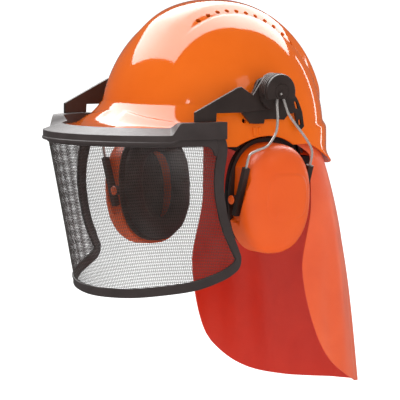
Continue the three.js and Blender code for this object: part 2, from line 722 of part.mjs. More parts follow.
add('headband', headRing(HEAD.low, HEAD.high, 0, HEAD.bandThick, -141, 141, 44, 8), black);
add('sweatband', headRing(HEAD.low + 2, HEAD.high - 2, 3.8, 3.4, -62, 62, 22, 7), foam);
add('crown_strap_a', crownStrap(45, 100), webbing);
add('crown_strap_b', crownStrap(-45, 103), webbing);
for (const [name, heading] of [
  ['crown_clip_front_left', 45], ['crown_clip_front_right', -45],
  ['crown_clip_rear_left', 135], ['crown_clip_rear_right', -135],
]) {
  add(name, crownClip(heading), black);
}
add('ratchet_housing', ratchetHousing(), black);
add('rack_tail_left', rackTail(1, 3.2, 9.5), black);
add('rack_tail_right', rackTail(-1, -9.5, -3.2), black);
const knobY = HEAD.tailCentreY + HEAD.tailRadius;
add('ratchet_knob', turned(
  [[0, 0], [2.8, 0], [2.8, 4.3], [9.6, 4.3], [10.4, 5.3], [10.4, 8.2], [9.4, 9.2], [0, 9.2]],
  24, alongY, [0, knobY + 0.2, HEAD.ratchetZ],
), black);

add('neck_cape', cape(), capeRed);
add('cape_band', capeBand(), black);

add('visor_rim', visorRim(), black);
add('visor_edge_frame', edgeFrame(), black);
add('visor_mesh', visorSheet(), meshBlack);

for (const [side, label] of [[1, 'left'], [-1, 'right']]) {
  const face = (geometry) => (side > 0 ? geometry : mirrored(geometry));
  add(`visor_arm_${label}`, face(visorArm()), black);
  add(`muff_bracket_${label}`, face(bracketBase()), black);
  add(`hub_turret_${label}`, face(hubDisc(LAYER.turret, HUB.radius, wirePocket, wireSlot)), black);
  add(`hub_cap_${label}`, face(hubDisc(LAYER.cap, HUB.radius - 0.6, wirePocket)), black);
  add(`hub_rivet_${label}`, face(turned(
    [[0, 0], [3.2, 0], [2.8, 1.2], [0, 1.6]], 16, alongX, [LAYER.cap[1] + GAP, HUB.y - 1, HUB.z - 2],
  )), steel);
  add(`yoke_wire_${label}`, face(yokeWire()), steel);

  const placed = (geometry, tilt, out = 0) => face(geometry
    .applyMatrix4(new THREE.Matrix4().makeRotationY(radians(tilt)))
    .translate(CUP.x + out, CUP.y, CUP.z));
  add(`ear_cup_${label}`, placed(earCup(), CUP.lean), orangeSatin);
  add(`cup_plate_${label}`, placed(ovalRing([-13.2, -10.3], RING.plate, RING.plateHole), CUP.lean), black);
  const cushion = ovalRing([-28, -13.5], RING.cushion, RING.cushionHole, 4);
  add(`ear_cushion_${label}`, placed(cushion, CUP.lean), foam);
  add(`foam_liner_${label}`, placed(foamLiner(), CUP.lean), foam);
  for (const [end, way] of [['front', -1], ['rear', 1]]) {
    add(`wire_guide_${end}_${label}`, placed(guideBar(way), GUIDE.slope, GUIDE.out), black);
    add(`pivot_button_${end}_${label}`, placed(pivotButton(way), 0), orangeSatin);
  }
}

export default model;
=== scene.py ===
import math

import bmesh
import bpy
import numpy as np
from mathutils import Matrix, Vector, noise


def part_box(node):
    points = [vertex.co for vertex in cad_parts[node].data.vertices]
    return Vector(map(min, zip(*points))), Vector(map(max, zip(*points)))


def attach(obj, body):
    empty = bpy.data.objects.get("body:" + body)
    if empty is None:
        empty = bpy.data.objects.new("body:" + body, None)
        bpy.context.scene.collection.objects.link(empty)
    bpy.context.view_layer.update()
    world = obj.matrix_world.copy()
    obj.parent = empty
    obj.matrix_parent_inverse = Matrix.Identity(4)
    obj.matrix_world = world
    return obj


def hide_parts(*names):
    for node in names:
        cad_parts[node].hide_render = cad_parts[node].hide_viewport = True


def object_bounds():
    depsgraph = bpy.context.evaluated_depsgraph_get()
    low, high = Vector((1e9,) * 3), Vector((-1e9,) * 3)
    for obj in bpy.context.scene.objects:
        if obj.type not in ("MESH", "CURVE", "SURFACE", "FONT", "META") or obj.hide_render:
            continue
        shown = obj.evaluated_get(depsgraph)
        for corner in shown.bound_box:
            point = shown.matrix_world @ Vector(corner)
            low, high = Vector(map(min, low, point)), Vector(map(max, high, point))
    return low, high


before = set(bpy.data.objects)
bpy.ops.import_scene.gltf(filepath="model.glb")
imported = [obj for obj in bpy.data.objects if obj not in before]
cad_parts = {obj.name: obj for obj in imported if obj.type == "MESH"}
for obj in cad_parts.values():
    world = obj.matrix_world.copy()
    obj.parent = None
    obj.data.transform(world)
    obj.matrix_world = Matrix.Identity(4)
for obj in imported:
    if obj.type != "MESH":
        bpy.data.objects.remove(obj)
cad_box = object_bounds()

# Lengths below are millimetres; MM turns them into the scene's metres.
# +X is the wearer's left, -Y the front and +Z up, as in the frame.
MM = 0.001

# ---------------- driving dimensions

SHELL_HALF_WIDTH, SHELL_HALF_LENGTH, SHELL_HEIGHT = 100, 114, 133
SHELL_WALL, SHELL_COLUMNS = 2.8, 480
PLAN_POWER, RISE_POWER, PEAK_POWER = 2.2, 2.1, 2.6
WALL_TOP = 36
PEAK_REACH, PEAK_HALF_WIDTH, PEAK_Z = 158, 97, 13
PEAK_START, PEAK_END = -61, -53
SKIRT_Z, ARCH_RISE, ARCH_CENTRE, ARCH_HALF = -5, 10, -8, 34
NAPE_DROP, FLARE, REAR_LIP = 24, 2.2, 4.5
LEDGE, LEDGE_BOTTOM, LEDGE_TOP = 3.2, 8, 16
BAND_HALF_WIDTH, BAND_RAISE, BAND_EDGE, BAND_SPREAD = 24, 3.2, 2.0, 0.0025
BAND_FRONT, BAND_RUN, BAND_FOOT = -84, 30, (26, 48)
WALL_DIP, WALL_FRONT, CREASE_WIDTH, CREASE_MARGIN, CREASE_LIMIT = 1.3, -68, 2.4, 4.6, 60
VENT_COUNT, VENT_FIRST_Y, VENT_PITCH, VENT_CLOSE_UP = 12, -42, 12.6, 0.29
VENT_X, VENT_SPREAD, VENT_RADIUS = 33.5, 0.00385, 2.4
SPREAD_FROM_Y = -20
# The peak's sweep, its low ridge, and the line that the ridge follows.
SWEEP_POWER, RIDGE, RIDGE_START, RIDGE_FALL = 2.2, 1.3, 0.825, 0.0075
SIDE_HOLE_Y, SIDE_HOLE_Z, SIDE_HOLE_RADIUS = -33.6, 19.6, 2.4

VISOR_TOP_Z, VISOR_BOTTOM_Z = 5, -157.5
VISOR_HALF, VISOR_DEPTH, VISOR_CENTRE = (110.5, 116), (99, 72), (-76, -55)
BAND_SIDE, BAND_FOOT_WIDTH = 13.0, 9.5
LEVEL_PITCH, UPRIGHT_PITCH = 1.5, 2.4
LEVEL_RADIUS, UPRIGHT_RADIUS, WEAVE = 0.35, 0.21, 0.22
STRIP_FOOT, STRIP_FILLET, STRIP_HALF = -3.5, 10, 1.3
# Half of the visor's outline, as (angle, height): the top corner, the waist, the lobe, the front.
VISOR_EDGE = [
    (94, 5), (94.6, -8), (90, -32), (88, -54), (89.6, -82), (94.6, -106), (96.2, -115),
    (93.5, -125), (86, -132), (76, -138.3), (58, -147), (38, -152.5), (18, -156.5), (0, -157.5),
]
RIM_LIP, RIM_LIP_BOTTOM, RIM_LIP_TOP = 4.4, -1.2, 8
RIM_FLANGE, RIM_FLANGE_TOP, RIM_WALL, RIM_REACH = 15, 14.7, 2.4, 94
BLOCK_FROM, BLOCK_TO, BLOCK_TOP, BLOCK_BOTTOM, BLOCK_INNER, BLOCK_UNDER = 60, 66, 20.5, 3.4, 7.5, 8

HUB_Y, HUB_Z, HUB_RADIUS = -6, 48.5, 18.4
TURRET_X, CAP_X, CAP_RADIUS = (107.7, 118), (118.3, 122), 17.8
POCKET_BACK, POCKET_TOP = 111.5, 41.5
CUP_LEAN, CUP_HALF_HEIGHT, CUP_HALF_WIDTH, CUP_DEPTH = 4, 55, 42, 25
CUP_SQUARE, CUP_PRESS, PANEL_RAISE, RING_LIFT = 0.86, 5.6, 1.1, 3.5
# Half height and half width of the rings' outer and inner ovals.
PLATE_OUTER, PLATE_INNER = (56, 42.5), (36, 24)
CUSHION_OUTER, CUSHION_INNER = (54.8, 40.8), (32, 19)
GUIDE_SLOPE, GUIDE_OUT, GUIDE_HALF = 20, 3, 40.2
CUP_X, CUP_Y, CUP_Z = 100, -5, -58
YOKE_X, YOKE_Z, YOKE_RADIUS = 114.5, 43.5, 1.3

HEAD_HALF_WIDTH, HEAD_HALF_LENGTH = 79, 97
HEAD_LOW, HEAD_HIGH, HEAD_NAPE_DROP = 8, 34, 44

CAPE_THICK, CAPE_TOP_Z, CAPE_MID_Y = 1.3, -6, 50
CAPE_HALF, CAPE_REACH, CAPE_BULGE, NAPE_DIP = (85.5, 93), (57, 116), 31, 17
CAPE_TAB_Y, CAPE_TAB_RISE, CAPE_EDGE_Y = 38, 4, (58, 45)
CAPE_FRONT_Z, CAPE_HEM_Z, CORNER = -178, -250, 0.13

AZIMUTH, ELEVATION, DISTANCE = 52, 3.5, 16.0
FRAME_WIDTH, AIM_RIGHT, AIM_UP = 0.400, -0.011, -0.065
FLOOR_DROP, FLOOR_HALF = 0.03, 60
WORLD_FILL, WORLD_GLOSS, FLOOR_GLOW = 0.8, 0.16, 0.45


def smooth(value, low, high):
    t = np.clip((np.asarray(value, float) - low) / (high - low), 0, 1)
    return t * t * (3 - 2 * t)


def mix(a, b, t):
    return a + (b - a) * t


def power(value, p):
    return np.sign(value) * np.abs(value) ** p


# ---------------- camera, floor and light

def look(azimuth, elevation):
    a, e = math.radians(azimuth), math.radians(elevation)
    right = Vector((math.cos(a), math.sin(a), 0))
    back = Vector((math.sin(a) * math.cos(e), -math.cos(a) * math.cos(e), math.sin(e)))
    return right, back, back.cross(right)


def make_camera():
    right, back, up = look(AZIMUTH, ELEVATION)
    data = bpy.data.cameras.new("camera")
    data.sensor_width = 36
    data.lens = data.sensor_width * DISTANCE / FRAME_WIDTH
    data.clip_start, data.clip_end = 0.1, 300
    camera = bpy.data.objects.new("camera", data)
    camera.location = right * AIM_RIGHT + up * AIM_UP + back * DISTANCE
    camera.rotation_mode = "QUATERNION"
    camera.rotation_quaternion = (-back).to_track_quat("-Z", "Y")
    bpy.context.scene.collection.objects.link(camera)
    bpy.context.scene.camera = camera


def make_panel(name, place, aim, size, radiance, kind):
    """A soft rectangular light: kind says whether it fills ("diffuse") or only glints ("glossy")."""
    data = bpy.data.lights.new(name, "AREA")
    data.shape = "RECTANGLE"
    data.size, data.size_y = size
    data.energy = radiance * math.pi * size[0] * size[1]
    light = bpy.data.objects.new(name, data)
    light.location = place
    light.rotation_mode = "QUATERNION"
    light.rotation_quaternion = (Vector(aim) - Vector(place)).to_track_quat("-Z", "Y")
    light.visible_camera = False
    light.visible_diffuse = kind == "diffuse"
    light.visible_glossy = kind == "glossy"
    bpy.context.scene.collection.objects.link(light)


def make_card(name, azimuth, elevation, distance, size, radiance):
    """A glinting panel that faces the helmet from the given direction."""
    _, back, _ = look(azimuth, elevation)
    make_panel(name, back * distance, (0, 0, 0), size, radiance, "glossy")


def make_lights():
    """Directions and sizes in metres: one wide ceiling panel, two fills, and three small glints."""
    make_panel("ceiling_glint", (-1.215, 0.9, 1.5), (-1.215, 0.9, 0), (2.67, 4.2), 7.5, "glossy")
    make_panel("ceiling_fill", (0.0, -0.6, 1.8), (0, 0, 0), (2.4, 2.4), 0.5, "diffuse")
    make_panel("left_fill", (1.7, -1.2, 0.5), (0, 0, -0.05), (1.4, 1.4), 0.7, "diffuse")
    make_card("cup_glint", 108, 28, 1.7, (0.35, 0.35), 1.2)
    make_card("brow_glint", 41, 21, 1.7, (0.12, 0.12), 8)
    make_card("rear_glint", -172, 8, 1.7, (0.08, 0.8), 6)


def make_floor():
    low, half = cad_box[0][2] - FLOOR_DROP, FLOOR_HALF
    mesh = bpy.data.meshes.new("floor")
    corners = [(-half, -half, low), (half, -half, low), (half, half, low), (-half, half, low)]
    mesh.from_pydata(corners, [], [(0, 1, 2, 3)])
    floor = bpy.data.objects.new("floor", mesh)
    bpy.context.scene.collection.objects.link(floor)
    floor.visible_glossy = False
    material, nodes, links, shader = new_material("floor_paper", (0.92, 0.92, 0.92), 0.9)
    grain = noise_node(nodes, links, 6, 2)
    tint = ramp_node(nodes, links, grain, (0.905, 0.905, 0.905), (0.93, 0.93, 0.93))
    links.new(tint, shader.inputs["Base Color"])
    shader.inputs["Emission Color"].default_value = (1, 1, 1, 1)
    shader.inputs["Emission Strength"].default_value = FLOOR_GLOW
    mesh.materials.append(material)


def make_world():
    """An even white surround, seen only faintly in polished surfaces."""
    world = bpy.data.worlds.new("world")
    world.use_nodes = True
    nodes, links = world.node_tree.nodes, world.node_tree.links
    background = nodes["Background"]
    background.inputs["Color"].default_value = (1, 1, 1, 1)
    path = nodes.new("ShaderNodeLightPath")
    strength = nodes.new("ShaderNodeMapRange")
    strength.inputs["To Min"].default_value = WORLD_FILL
    strength.inputs["To Max"].default_value = WORLD_GLOSS
    links.new(path.outputs["Is Glossy Ray"], strength.inputs["Value"])
    links.new(strength.outputs["Result"], background.inputs["Strength"])
    bpy.context.scene.world = world
    bpy.context.scene.view_settings.view_transform = "Standard"


# ---------------- materials

def new_material(name, color, roughness, metallic=0.0):
    material = bpy.data.materials.new(name)
    material.use_nodes = True
    nodes, links = material.node_tree.nodes, material.node_tree.links
    shader = nodes["Principled BSDF"]
    shader.inputs["Base Color"].default_value = (*color, 1)
    shader.inputs["Roughness"].default_value = roughness
    shader.inputs["Metallic"].default_value = metallic
    return material, nodes, links, shader


def noise_node(nodes, links, scale, detail=3, distortion=0.0):
    place = nodes.new("ShaderNodeTexCoord")
    texture = nodes.new("ShaderNodeTexNoise")
    texture.inputs["Scale"].default_value = scale
    texture.inputs["Detail"].default_value = detail
    texture.inputs["Distortion"].default_value = distortion
    links.new(place.outputs["Object"], texture.inputs["Vector"])
    return texture.outputs["Fac"]


def ramp_node(nodes, links, factor, dark, light, low=0.3, high=0.7):
    ramp = nodes.new("ShaderNodeValToRGB")
    ramp.color_ramp.elements[0].position = low
    ramp.color_ramp.elements[1].position = high
    ramp.color_ramp.elements[0].color = (*dark, 1)
    ramp.color_ramp.elements[1].color = (*light, 1)
    links.new(factor, ramp.inputs["Fac"])
    return ramp.outputs["Color"]


def range_node(nodes, links, factor, low, high):
    spread = nodes.new("ShaderNodeMapRange")
    spread.inputs["To Min"].default_value = low
    spread.inputs["To Max"].default_value = high
    links.new(factor, spread.inputs["Value"])
    return spread.outputs["Result"]


def bump_node(nodes, links, shader, height, distance, strength=1.0, under=None):
    bump = nodes.new("ShaderNodeBump")
    bump.inputs["Distance"].default_value = distance
    bump.inputs["Strength"].default_value = strength
    links.new(height, bump.inputs["Height"])
    if under:
        links.new(under, bump.inputs["Normal"])
    links.new(bump.outputs["Normal"], shader.inputs["Normal"])
    return bump.outputs["Normal"]


def plastic(name, dark, light, rough, grain, depth, patch=40):
    """Moulded plastic: slow colour drift, uneven gloss, and a fine moulded texture."""
    material, nodes, links, shader = new_material(name, light, rough[0])
    drift = noise_node(nodes, links, patch, 4)
    links.new(ramp_node(nodes, links, drift, dark, light), shader.inputs["Base Color"])
    smears = noise_node(nodes, links, patch * 2.2, 5, 0.6)
    links.new(range_node(nodes, links, smears, *rough), shader.inputs["Roughness"])
    skin = noise_node(nodes, links, grain, 3)
    bump_node(nodes, links, shader, skin, depth)
    return material


# A wave texture of scale 1 / (6.3 * pitch) has one wave for each two threads.
THREAD_SCALE = 6.3


def woven(name, dark, light, pitch, depth):
    """Cloth: two crossed rows of threads, with a soft sheen and slow colour drift."""
    material, nodes, links, shader = new_material(name, light, 0.85)
    place = nodes.new("ShaderNodeTexCoord")
    heights = []
    for direction in ("X", "Z"):
        wave = nodes.new("ShaderNodeTexWave")
        wave.bands_direction = direction
        wave.inputs["Scale"].default_value = 1 / (pitch * MM) / THREAD_SCALE
        wave.inputs["Distortion"].default_value = 0.6
        links.new(place.outputs["Object"], wave.inputs["Vector"])
        heights.append(wave.outputs["Fac"])
    both = nodes.new("ShaderNodeMath")
    both.operation = "MULTIPLY"
    links.new(heights[0], both.inputs[0])
    links.new(heights[1], both.inputs[1])
    drift = noise_node(nodes, links, 90, 4)
    links.new(ramp_node(nodes, links, drift, dark, light), shader.inputs["Base Color"])
    bump_node(nodes, links, shader, both.outputs["Value"], depth)
    shader.inputs["Sheen Weight"].default_value = 0.3
    return material


def steel(name):
    material, nodes, links, shader = new_material(name, (0.6, 0.55, 0.52), 0.3, 0.55)
    drawn = noise_node(nodes, links, 900, 3)
    links.new(range_node(nodes, links, drawn, 0.12, 0.3), shader.inputs["Roughness"])
    tint = ramp_node(nodes, links, drawn, (0.56, 0.51, 0.48), (0.68, 0.63, 0.6))
    links.new(tint, shader.inputs["Base Color"])
    bump_node(nodes, links, shader, drawn, 0.00001)
    return material


def cushion_skin(name):
    """Thin soft skin over foam, with fine leather-like creases."""
    material, nodes, links, shader = new_material(name, (0.012, 0.012, 0.013), 0.5)
    place = nodes.new("ShaderNodeTexCoord")
    cells = nodes.new("ShaderNodeTexVoronoi")
    cells.feature = "DISTANCE_TO_EDGE"
    cells.inputs["Scale"].default_value = 1100
    links.new(place.outputs["Object"], cells.inputs["Vector"])
    first = bump_node(nodes, links, shader, cells.outputs["Distance"], 0.0002, 0.5)
    folds = noise_node(nodes, links, 160, 4, 0.8)
    bump_node(nodes, links, shader, folds, 0.0006, 0.5, under=first)
    links.new(range_node(nodes, links, folds, 0.42, 0.62), shader.inputs["Roughness"])
    drift = noise_node(nodes, links, 60, 3)
    links.new(ramp_node(nodes, links, drift, (0.009, 0.009, 0.01), (0.018, 0.018, 0.02)),
              shader.inputs["Base Color"])
    return material


def open_foam(name):
    material, nodes, links, shader = new_material(name, (0.03, 0.03, 0.032), 0.95)
    place = nodes.new("ShaderNodeTexCoord")
    cells = nodes.new("ShaderNodeTexVoronoi")
    cells.inputs["Scale"].default_value = 700
    links.new(place.outputs["Object"], cells.inputs["Vector"])
    tint = ramp_node(nodes, links, cells.outputs["Distance"], (0.008, 0.008, 0.009),
                     (0.05, 0.05, 0.052), 0.1, 0.6)
    links.new(tint, shader.inputs["Base Color"])
    bump_node(nodes, links, shader, cells.outputs["Distance"], 0.0006)
    return material


def cape_sheet(name):
    """Coated cloth: waxy outside, with the inner side painted darker and redder as painted shade, and
    the weave just showing through.
    """
    material, nodes, links, shader = new_material(name, (0.76, 0.1, 0.026), 0.4)
    drift = noise_node(nodes, links, 22, 4, 0.4)
    outside = ramp_node(nodes, links, drift, (0.78, 0.094, 0.018), (0.86, 0.12, 0.026))
    # Painted shade: the inner side's colour is darker and redder, standing in for the shade that falls
    # inside the cape.
    inside = ramp_node(nodes, links, drift, (0.68, 0.026, 0.007), (0.76, 0.036, 0.01))
    shaded_inner_side = nodes.new("ShaderNodeAttribute")
    shaded_inner_side.attribute_name = "shaded_inner_side"
    both = nodes.new("ShaderNodeMix")
    both.data_type = "RGBA"
    links.new(shaded_inner_side.outputs["Fac"], both.inputs[0])
    links.new(outside, both.inputs[6])
    links.new(inside, both.inputs[7])
    links.new(both.outputs[2], shader.inputs["Base Color"])
    links.new(range_node(nodes, links, noise_node(nodes, links, 70, 4), 0.34, 0.5),
              shader.inputs["Roughness"])
    place = nodes.new("ShaderNodeTexCoord")
    weave = nodes.new("ShaderNodeTexVoronoi")
    weave.inputs["Scale"].default_value = 1300
    links.new(place.outputs["Object"], weave.inputs["Vector"])
    first = bump_node(nodes, links, shader, weave.outputs["Distance"], 0.00012, 0.6)
    bump_node(nodes, links, shader, noise_node(nodes, links, 45, 3), 0.0016, 0.35, under=first)
    shader.inputs["Subsurface Weight"].default_value = 0.12
    shader.inputs["Subsurface Radius"].default_value = (0.004, 0.0015, 0.0008)
    shader.inputs["Sheen Weight"].default_value = 0.05
    return material


# Each plastic: two tints, the range of its roughness, the grain's scale and its depth in metres.
SHELL_ORANGE = plastic("shell_orange", (0.82, 0.138, 0.006), (0.88, 0.158, 0.01), (0.05, 0.09),
                       260, 0.00003, 18)
CUP_ORANGE = plastic("cup_orange", (0.76, 0.085, 0.001), (0.8, 0.098, 0.0015), (0.3, 0.4),
                     700, 0.00008, 25)
BLACK = plastic("black_plastic", (0.026, 0.015, 0.012), (0.04, 0.024, 0.02), (0.36, 0.5),
                1500, 0.00009)
RIM_BLACK = plastic("rim_black", (0.038, 0.026, 0.024), (0.052, 0.037, 0.035), (0.4, 0.55),
                    1300, 0.00012)
MESH_BLACK = plastic("mesh_black", (0.04, 0.032, 0.029), (0.08, 0.066, 0.06), (0.3, 0.45),
                     2500, 0.00004)
HARNESS_BLACK = plastic("harness_black", (0.02, 0.02, 0.021), (0.032, 0.032, 0.033), (0.45, 0.6),
                        1400, 0.0001)
CUSHION = cushion_skin("cushion_skin")
FOAM = open_foam("open_foam")
SWEAT = woven("sweatband_cloth", (0.02, 0.02, 0.022), (0.035, 0.035, 0.038), 0.9, 0.0004)
WEBBING = woven("webbing", (0.05, 0.05, 0.06), (0.09, 0.09, 0.1), 1.3, 0.0006)
STEEL = steel("drawn_steel")
CAPE = cape_sheet("cape_coated")


# ---------------- mesh helpers

def build(name, points, faces, body, material, nodes=(), sharp=35):
    """A new mesh piece from millimetre points, merged and facing outwards."""
    mesh = bpy.data.meshes.new(name)
    mesh.from_pydata((np.asarray(points, float).reshape(-1, 3) * MM).tolist(), [], faces)
    work = bmesh.new()
    work.from_mesh(mesh)
    bmesh.ops.remove_doubles(work, verts=work.verts, dist=1e-6)
    bmesh.ops.recalc_face_normals(work, faces=work.faces)
    work.to_mesh(mesh)
    work.free()
    return dress(bpy.data.objects.new(name, mesh), body, material, nodes, sharp)


def dress(piece, body, material, nodes=(), sharp=35):
    if not piece.users_collection:
        bpy.context.scene.collection.objects.link(piece)
    piece.data.materials.clear()
    piece.data.materials.append(material)
    piece.data.shade_smooth()
    piece.data.set_sharp_from_angle(angle=math.radians(sharp))
    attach(piece, body)
    if nodes:
        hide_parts(*nodes)
    return piece


def grid_faces(rows, columns, round_rows=False, round_columns=False, caps=False):
    faces = []
    last_row = rows if round_rows else rows - 1
    last_column = columns if round_columns else columns - 1
    for r in range(last_row):
        for c in range(last_column):
            r2, c2 = (r + 1) % rows, (c + 1) % columns
            faces.append((r * columns + c, r * columns + c2, r2 * columns + c2, r2 * columns + c))
    if caps:
        faces.append(tuple(range(columns))[::-1])
        faces.append(tuple((rows - 1) * columns + c for c in range(columns)))
    return faces


def grid_piece(name, rows, body, material, nodes=(), sharp=35, **joins):
    rows = np.asarray(rows, float)
    faces = grid_faces(rows.shape[0], rows.shape[1], **joins)
    return build(name, rows, faces, body, material, nodes, sharp)


def ringed(*args, **options):
    """Rows that close on themselves, such as circles about one axis."""
    return grid_piece(*args, round_columns=True, **options)


def capped(*args, **options):
    """A bar of equal sections, with a flat cap on each end."""
    return grid_piece(*args, round_columns=True, caps=True, **options)


def looped(*args, **options):
    """A bar of equal sections whose last section meets its first."""
    return grid_piece(*args, round_rows=True, round_columns=True, **options)


def bevel(piece, width, segments=3, angle=30):
    """Rounds the hard edges, as a mould does."""
    change = piece.modifiers.new("rounded", "BEVEL")
    change.width = width * MM
    change.segments = segments
    change.limit_method = "ANGLE"
    change.angle_limit = math.radians(angle)
    change.harden_normals = False
    return piece


def refined(node, body, material, width, segments=3):
    """A copy of a CAD node with its flat faces joined and its edges rounded."""
    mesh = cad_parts[node].data.copy()
    work = bmesh.new()
    work.from_mesh(mesh)
    bmesh.ops.remove_doubles(work, verts=work.verts, dist=2e-6)
    bmesh.ops.dissolve_limit(work, angle_limit=math.radians(1.2), verts=work.verts, edges=work.edges)
    work.to_mesh(mesh)
    work.free()
    piece = bpy.data.objects.new(node + "_moulded", mesh)
    return bevel(dress(piece, body, material, [node]), width, segments)


def apply_modifiers(piece):
    graph = bpy.context.evaluated_depsgraph_get()
    mesh = bpy.data.meshes.new_from_object(piece.evaluated_get(graph))
    piece.modifiers.clear()
    piece.data = mesh
    return piece


def box_piece(name, low, high, body, material):
    """A small block in millimetres; its modifiers round it."""
    (x0, y0, z0), (x1, y1, z1) = low, high
    points = [(x, y, z) for z in (z0, z1) for y in (y0, y1) for x in (x0, x1)]
    faces = [(0, 2, 3, 1), (4, 5, 7, 6), (0, 1, 5, 4), (2, 6, 7, 3), (0, 4, 6, 2), (1, 3, 7, 5)]
    return build(name, points, faces, body, material)


def catmull(points, tension, steps):
    """A smooth path through the points: tangents are tension times the chord across each."""
    p = np.asarray(points, float)
    ends = np.vstack([2 * p[0] - p[1], p, 2 * p[-1] - p[-2]])
    path = []
    for i in range(len(p) - 1):
        a, b = ends[i + 1], ends[i + 2]
        m0, m1 = (b - ends[i]) * tension, (ends[i + 3] - a) * tension
        for t in np.arange(steps) / steps:
            t2, t3 = t * t, t * t * t
            path.append((2 * t3 - 3 * t2 + 1) * a + (t3 - 2 * t2 + t) * m0
                        + (3 * t2 - 2 * t3) * b + (t3 - t2) * m1)
    path.append(p[-1])
    return np.array(path)


def tube_rows(path, radius, sides):
    """Round sections square to a path, turned as little as possible from one to the next."""
    path = np.asarray(path, float)
    along = np.gradient(path, axis=0)
    along /= np.linalg.norm(along, axis=1)[:, None]
    side = np.cross(along[0], (0.3, 0.5, 0.81))
    rows = []
    for point, forward in zip(path, along):
        side = side - forward * side.dot(forward)
        side /= np.linalg.norm(side)
        other = np.cross(forward, side)
        turns = np.arange(sides) / sides * 2 * math.pi
        rows.append(point + radius * (np.cos(turns)[:, None] * side + np.sin(turns)[:, None] * other))
    return rows


# ---------------- helmet shell

def rim_z(y):
    arch = np.clip(1 - ((y - ARCH_CENTRE) / ARCH_HALF) ** 2, 0, None)
    return SKIRT_Z + ARCH_RISE * arch - NAPE_DROP * smooth(y, 44, 112)


def level_scale(z, grow):
    t = np.clip(z, 0, None) / (SHELL_HEIGHT + grow)
    return np.clip(1 - t ** RISE_POWER, 0, 1) ** (1 / RISE_POWER)


def crown_raise(x, y, z):
    """The raised band over the crown, and the wall that slopes from it down to a crisp crease."""
    away = np.clip(y - SPREAD_FROM_Y, 0, None) ** 2
    crease = np.minimum(VENT_X + CREASE_MARGIN + VENT_SPREAD * away, CREASE_LIMIT)
    narrow = crease - 6 * BAND_EDGE
    band = np.minimum(BAND_HALF_WIDTH + BAND_SPREAD * away, narrow)
    across = np.abs(x)
    slope = np.clip((across - band) / (crease - band), 0, 1)
    corner = BAND_EDGE * np.exp(-((across - band) / BAND_EDGE) ** 2) / 12
    wall = BAND_RAISE - (BAND_RAISE + WALL_DIP) * slope - corner
    back = 1 - smooth(across, crease, crease + CREASE_WIDTH)
    front = smooth(y, WALL_FRONT, WALL_FRONT + BAND_RUN)
    plain = BAND_RAISE * smooth(y, BAND_FRONT, BAND_FRONT + BAND_RUN)
    plain = plain * (1 - smooth(across, band - 8, crease + 4))
    return mix(plain, wall * back, front) * smooth(z, *BAND_FOOT)


def peak_ridge(angles, t):
    """A low ridge along each flank of the peak, steep on the crown's side."""
    turn = np.degrees(np.abs(np.angle(np.exp(1j * angles))))
    line = RIDGE_START - RIDGE_FALL * (turn - 4.5)
    rise = smooth(t, line - 0.3, line - 0.04) * (1 - smooth(t, line - 0.02, line + 0.05))
    return RIDGE * rise * smooth(turn, 3, 8) * (1 - smooth(turn, 38, 50))


def shell_surface(grow, angles, wall_rows, dome_rows):
    """Rows of one face of the shell, from its lower edge up to the crown."""
    px = power(np.sin(angles), 2 / PLAN_POWER)
    py = -power(np.cos(angles), 2 / PLAN_POWER)
    y0 = py * SHELL_HALF_LENGTH
    peak = (1 - smooth(y0, PEAK_START, PEAK_END))[:, None]
    inset = min(grow, 0) * 0.4
    q = 2 / PEAK_POWER
    edge = np.stack([
        power(np.sin(angles), q) * (PEAK_HALF_WIDTH + inset),
        -np.clip(np.cos(angles), 0, None) ** q * (PEAK_REACH + inset),
        np.full(len(angles), PEAK_Z + grow),
    ], 1)
    top = level_scale(WALL_TOP, grow)
    dome = np.stack([
        px * top * (SHELL_HALF_WIDTH + grow),
        py * top * (SHELL_HALF_LENGTH + grow),
        np.full(len(angles), float(WALL_TOP)),
    ], 1)
    behind = smooth(y0, 40, 80)
    rows = []
    for k in range(wall_rows):
        t = k / wall_rows
        lower = mix(rim_z(y0), WALL_TOP, t)
        scale = level_scale(lower, grow)
        lip = REAR_LIP * smooth(y0, 62, 98) * max(0, 1 - t * 5) ** 2
        ledge = LEDGE * behind * (1 - smooth(lower, LEDGE_BOTTOM, LEDGE_TOP))
        flare = FLARE * (1 - t) ** 2 * (1 - behind) + ledge + lip
        wall = np.stack([
            px * (scale * (SHELL_HALF_WIDTH + grow) + flare),
            py * (scale * (SHELL_HALF_LENGTH + grow) + flare),
            lower,
        ], 1)
        sweep = np.stack([
            mix(edge[:, 0], dome[:, 0], t), mix(edge[:, 1], dome[:, 1], t),
            mix(edge[:, 2], dome[:, 2], t ** SWEEP_POWER) + peak_ridge(angles, t),
        ], 1)
        rows.append(mix(wall, sweep, peak))
    start = math.asin((WALL_TOP / (SHELL_HEIGHT + grow)) ** (RISE_POWER / 2))
    p = 2 / RISE_POWER
    for rise in np.linspace(start, math.pi / 2, dome_rows + 1)[:-1]:
        plan = math.cos(rise) ** p
        x = px * plan * (SHELL_HALF_WIDTH + grow)
        y = py * plan * (SHELL_HALF_LENGTH + grow)
        z = np.full(len(angles), math.sin(rise) ** p * (SHELL_HEIGHT + grow))
        normal = np.stack([
            power(x / SHELL_HALF_WIDTH, RISE_POWER - 1) / SHELL_HALF_WIDTH,
            power(y / SHELL_HALF_LENGTH, RISE_POWER - 1) / SHELL_HALF_LENGTH,
            power(z / SHELL_HEIGHT, RISE_POWER - 1) / SHELL_HEIGHT,
        ], 1)
        normal /= np.linalg.norm(normal, axis=1)[:, None]
        rows.append(np.stack([x, y, z], 1) + normal * crown_raise(x, y, z)[:, None])
    rows.append(np.tile((0.0, 0.0, SHELL_HEIGHT + grow + BAND_RAISE), (len(angles), 1)))
    return rows


def cylinder_points(centre, axis, radius, length, sides=24):
    axis = np.asarray(axis, float) / np.linalg.norm(axis)
    path = [np.asarray(centre, float), np.asarray(centre, float) + axis * length]
    return tube_rows(path, radius, sides)


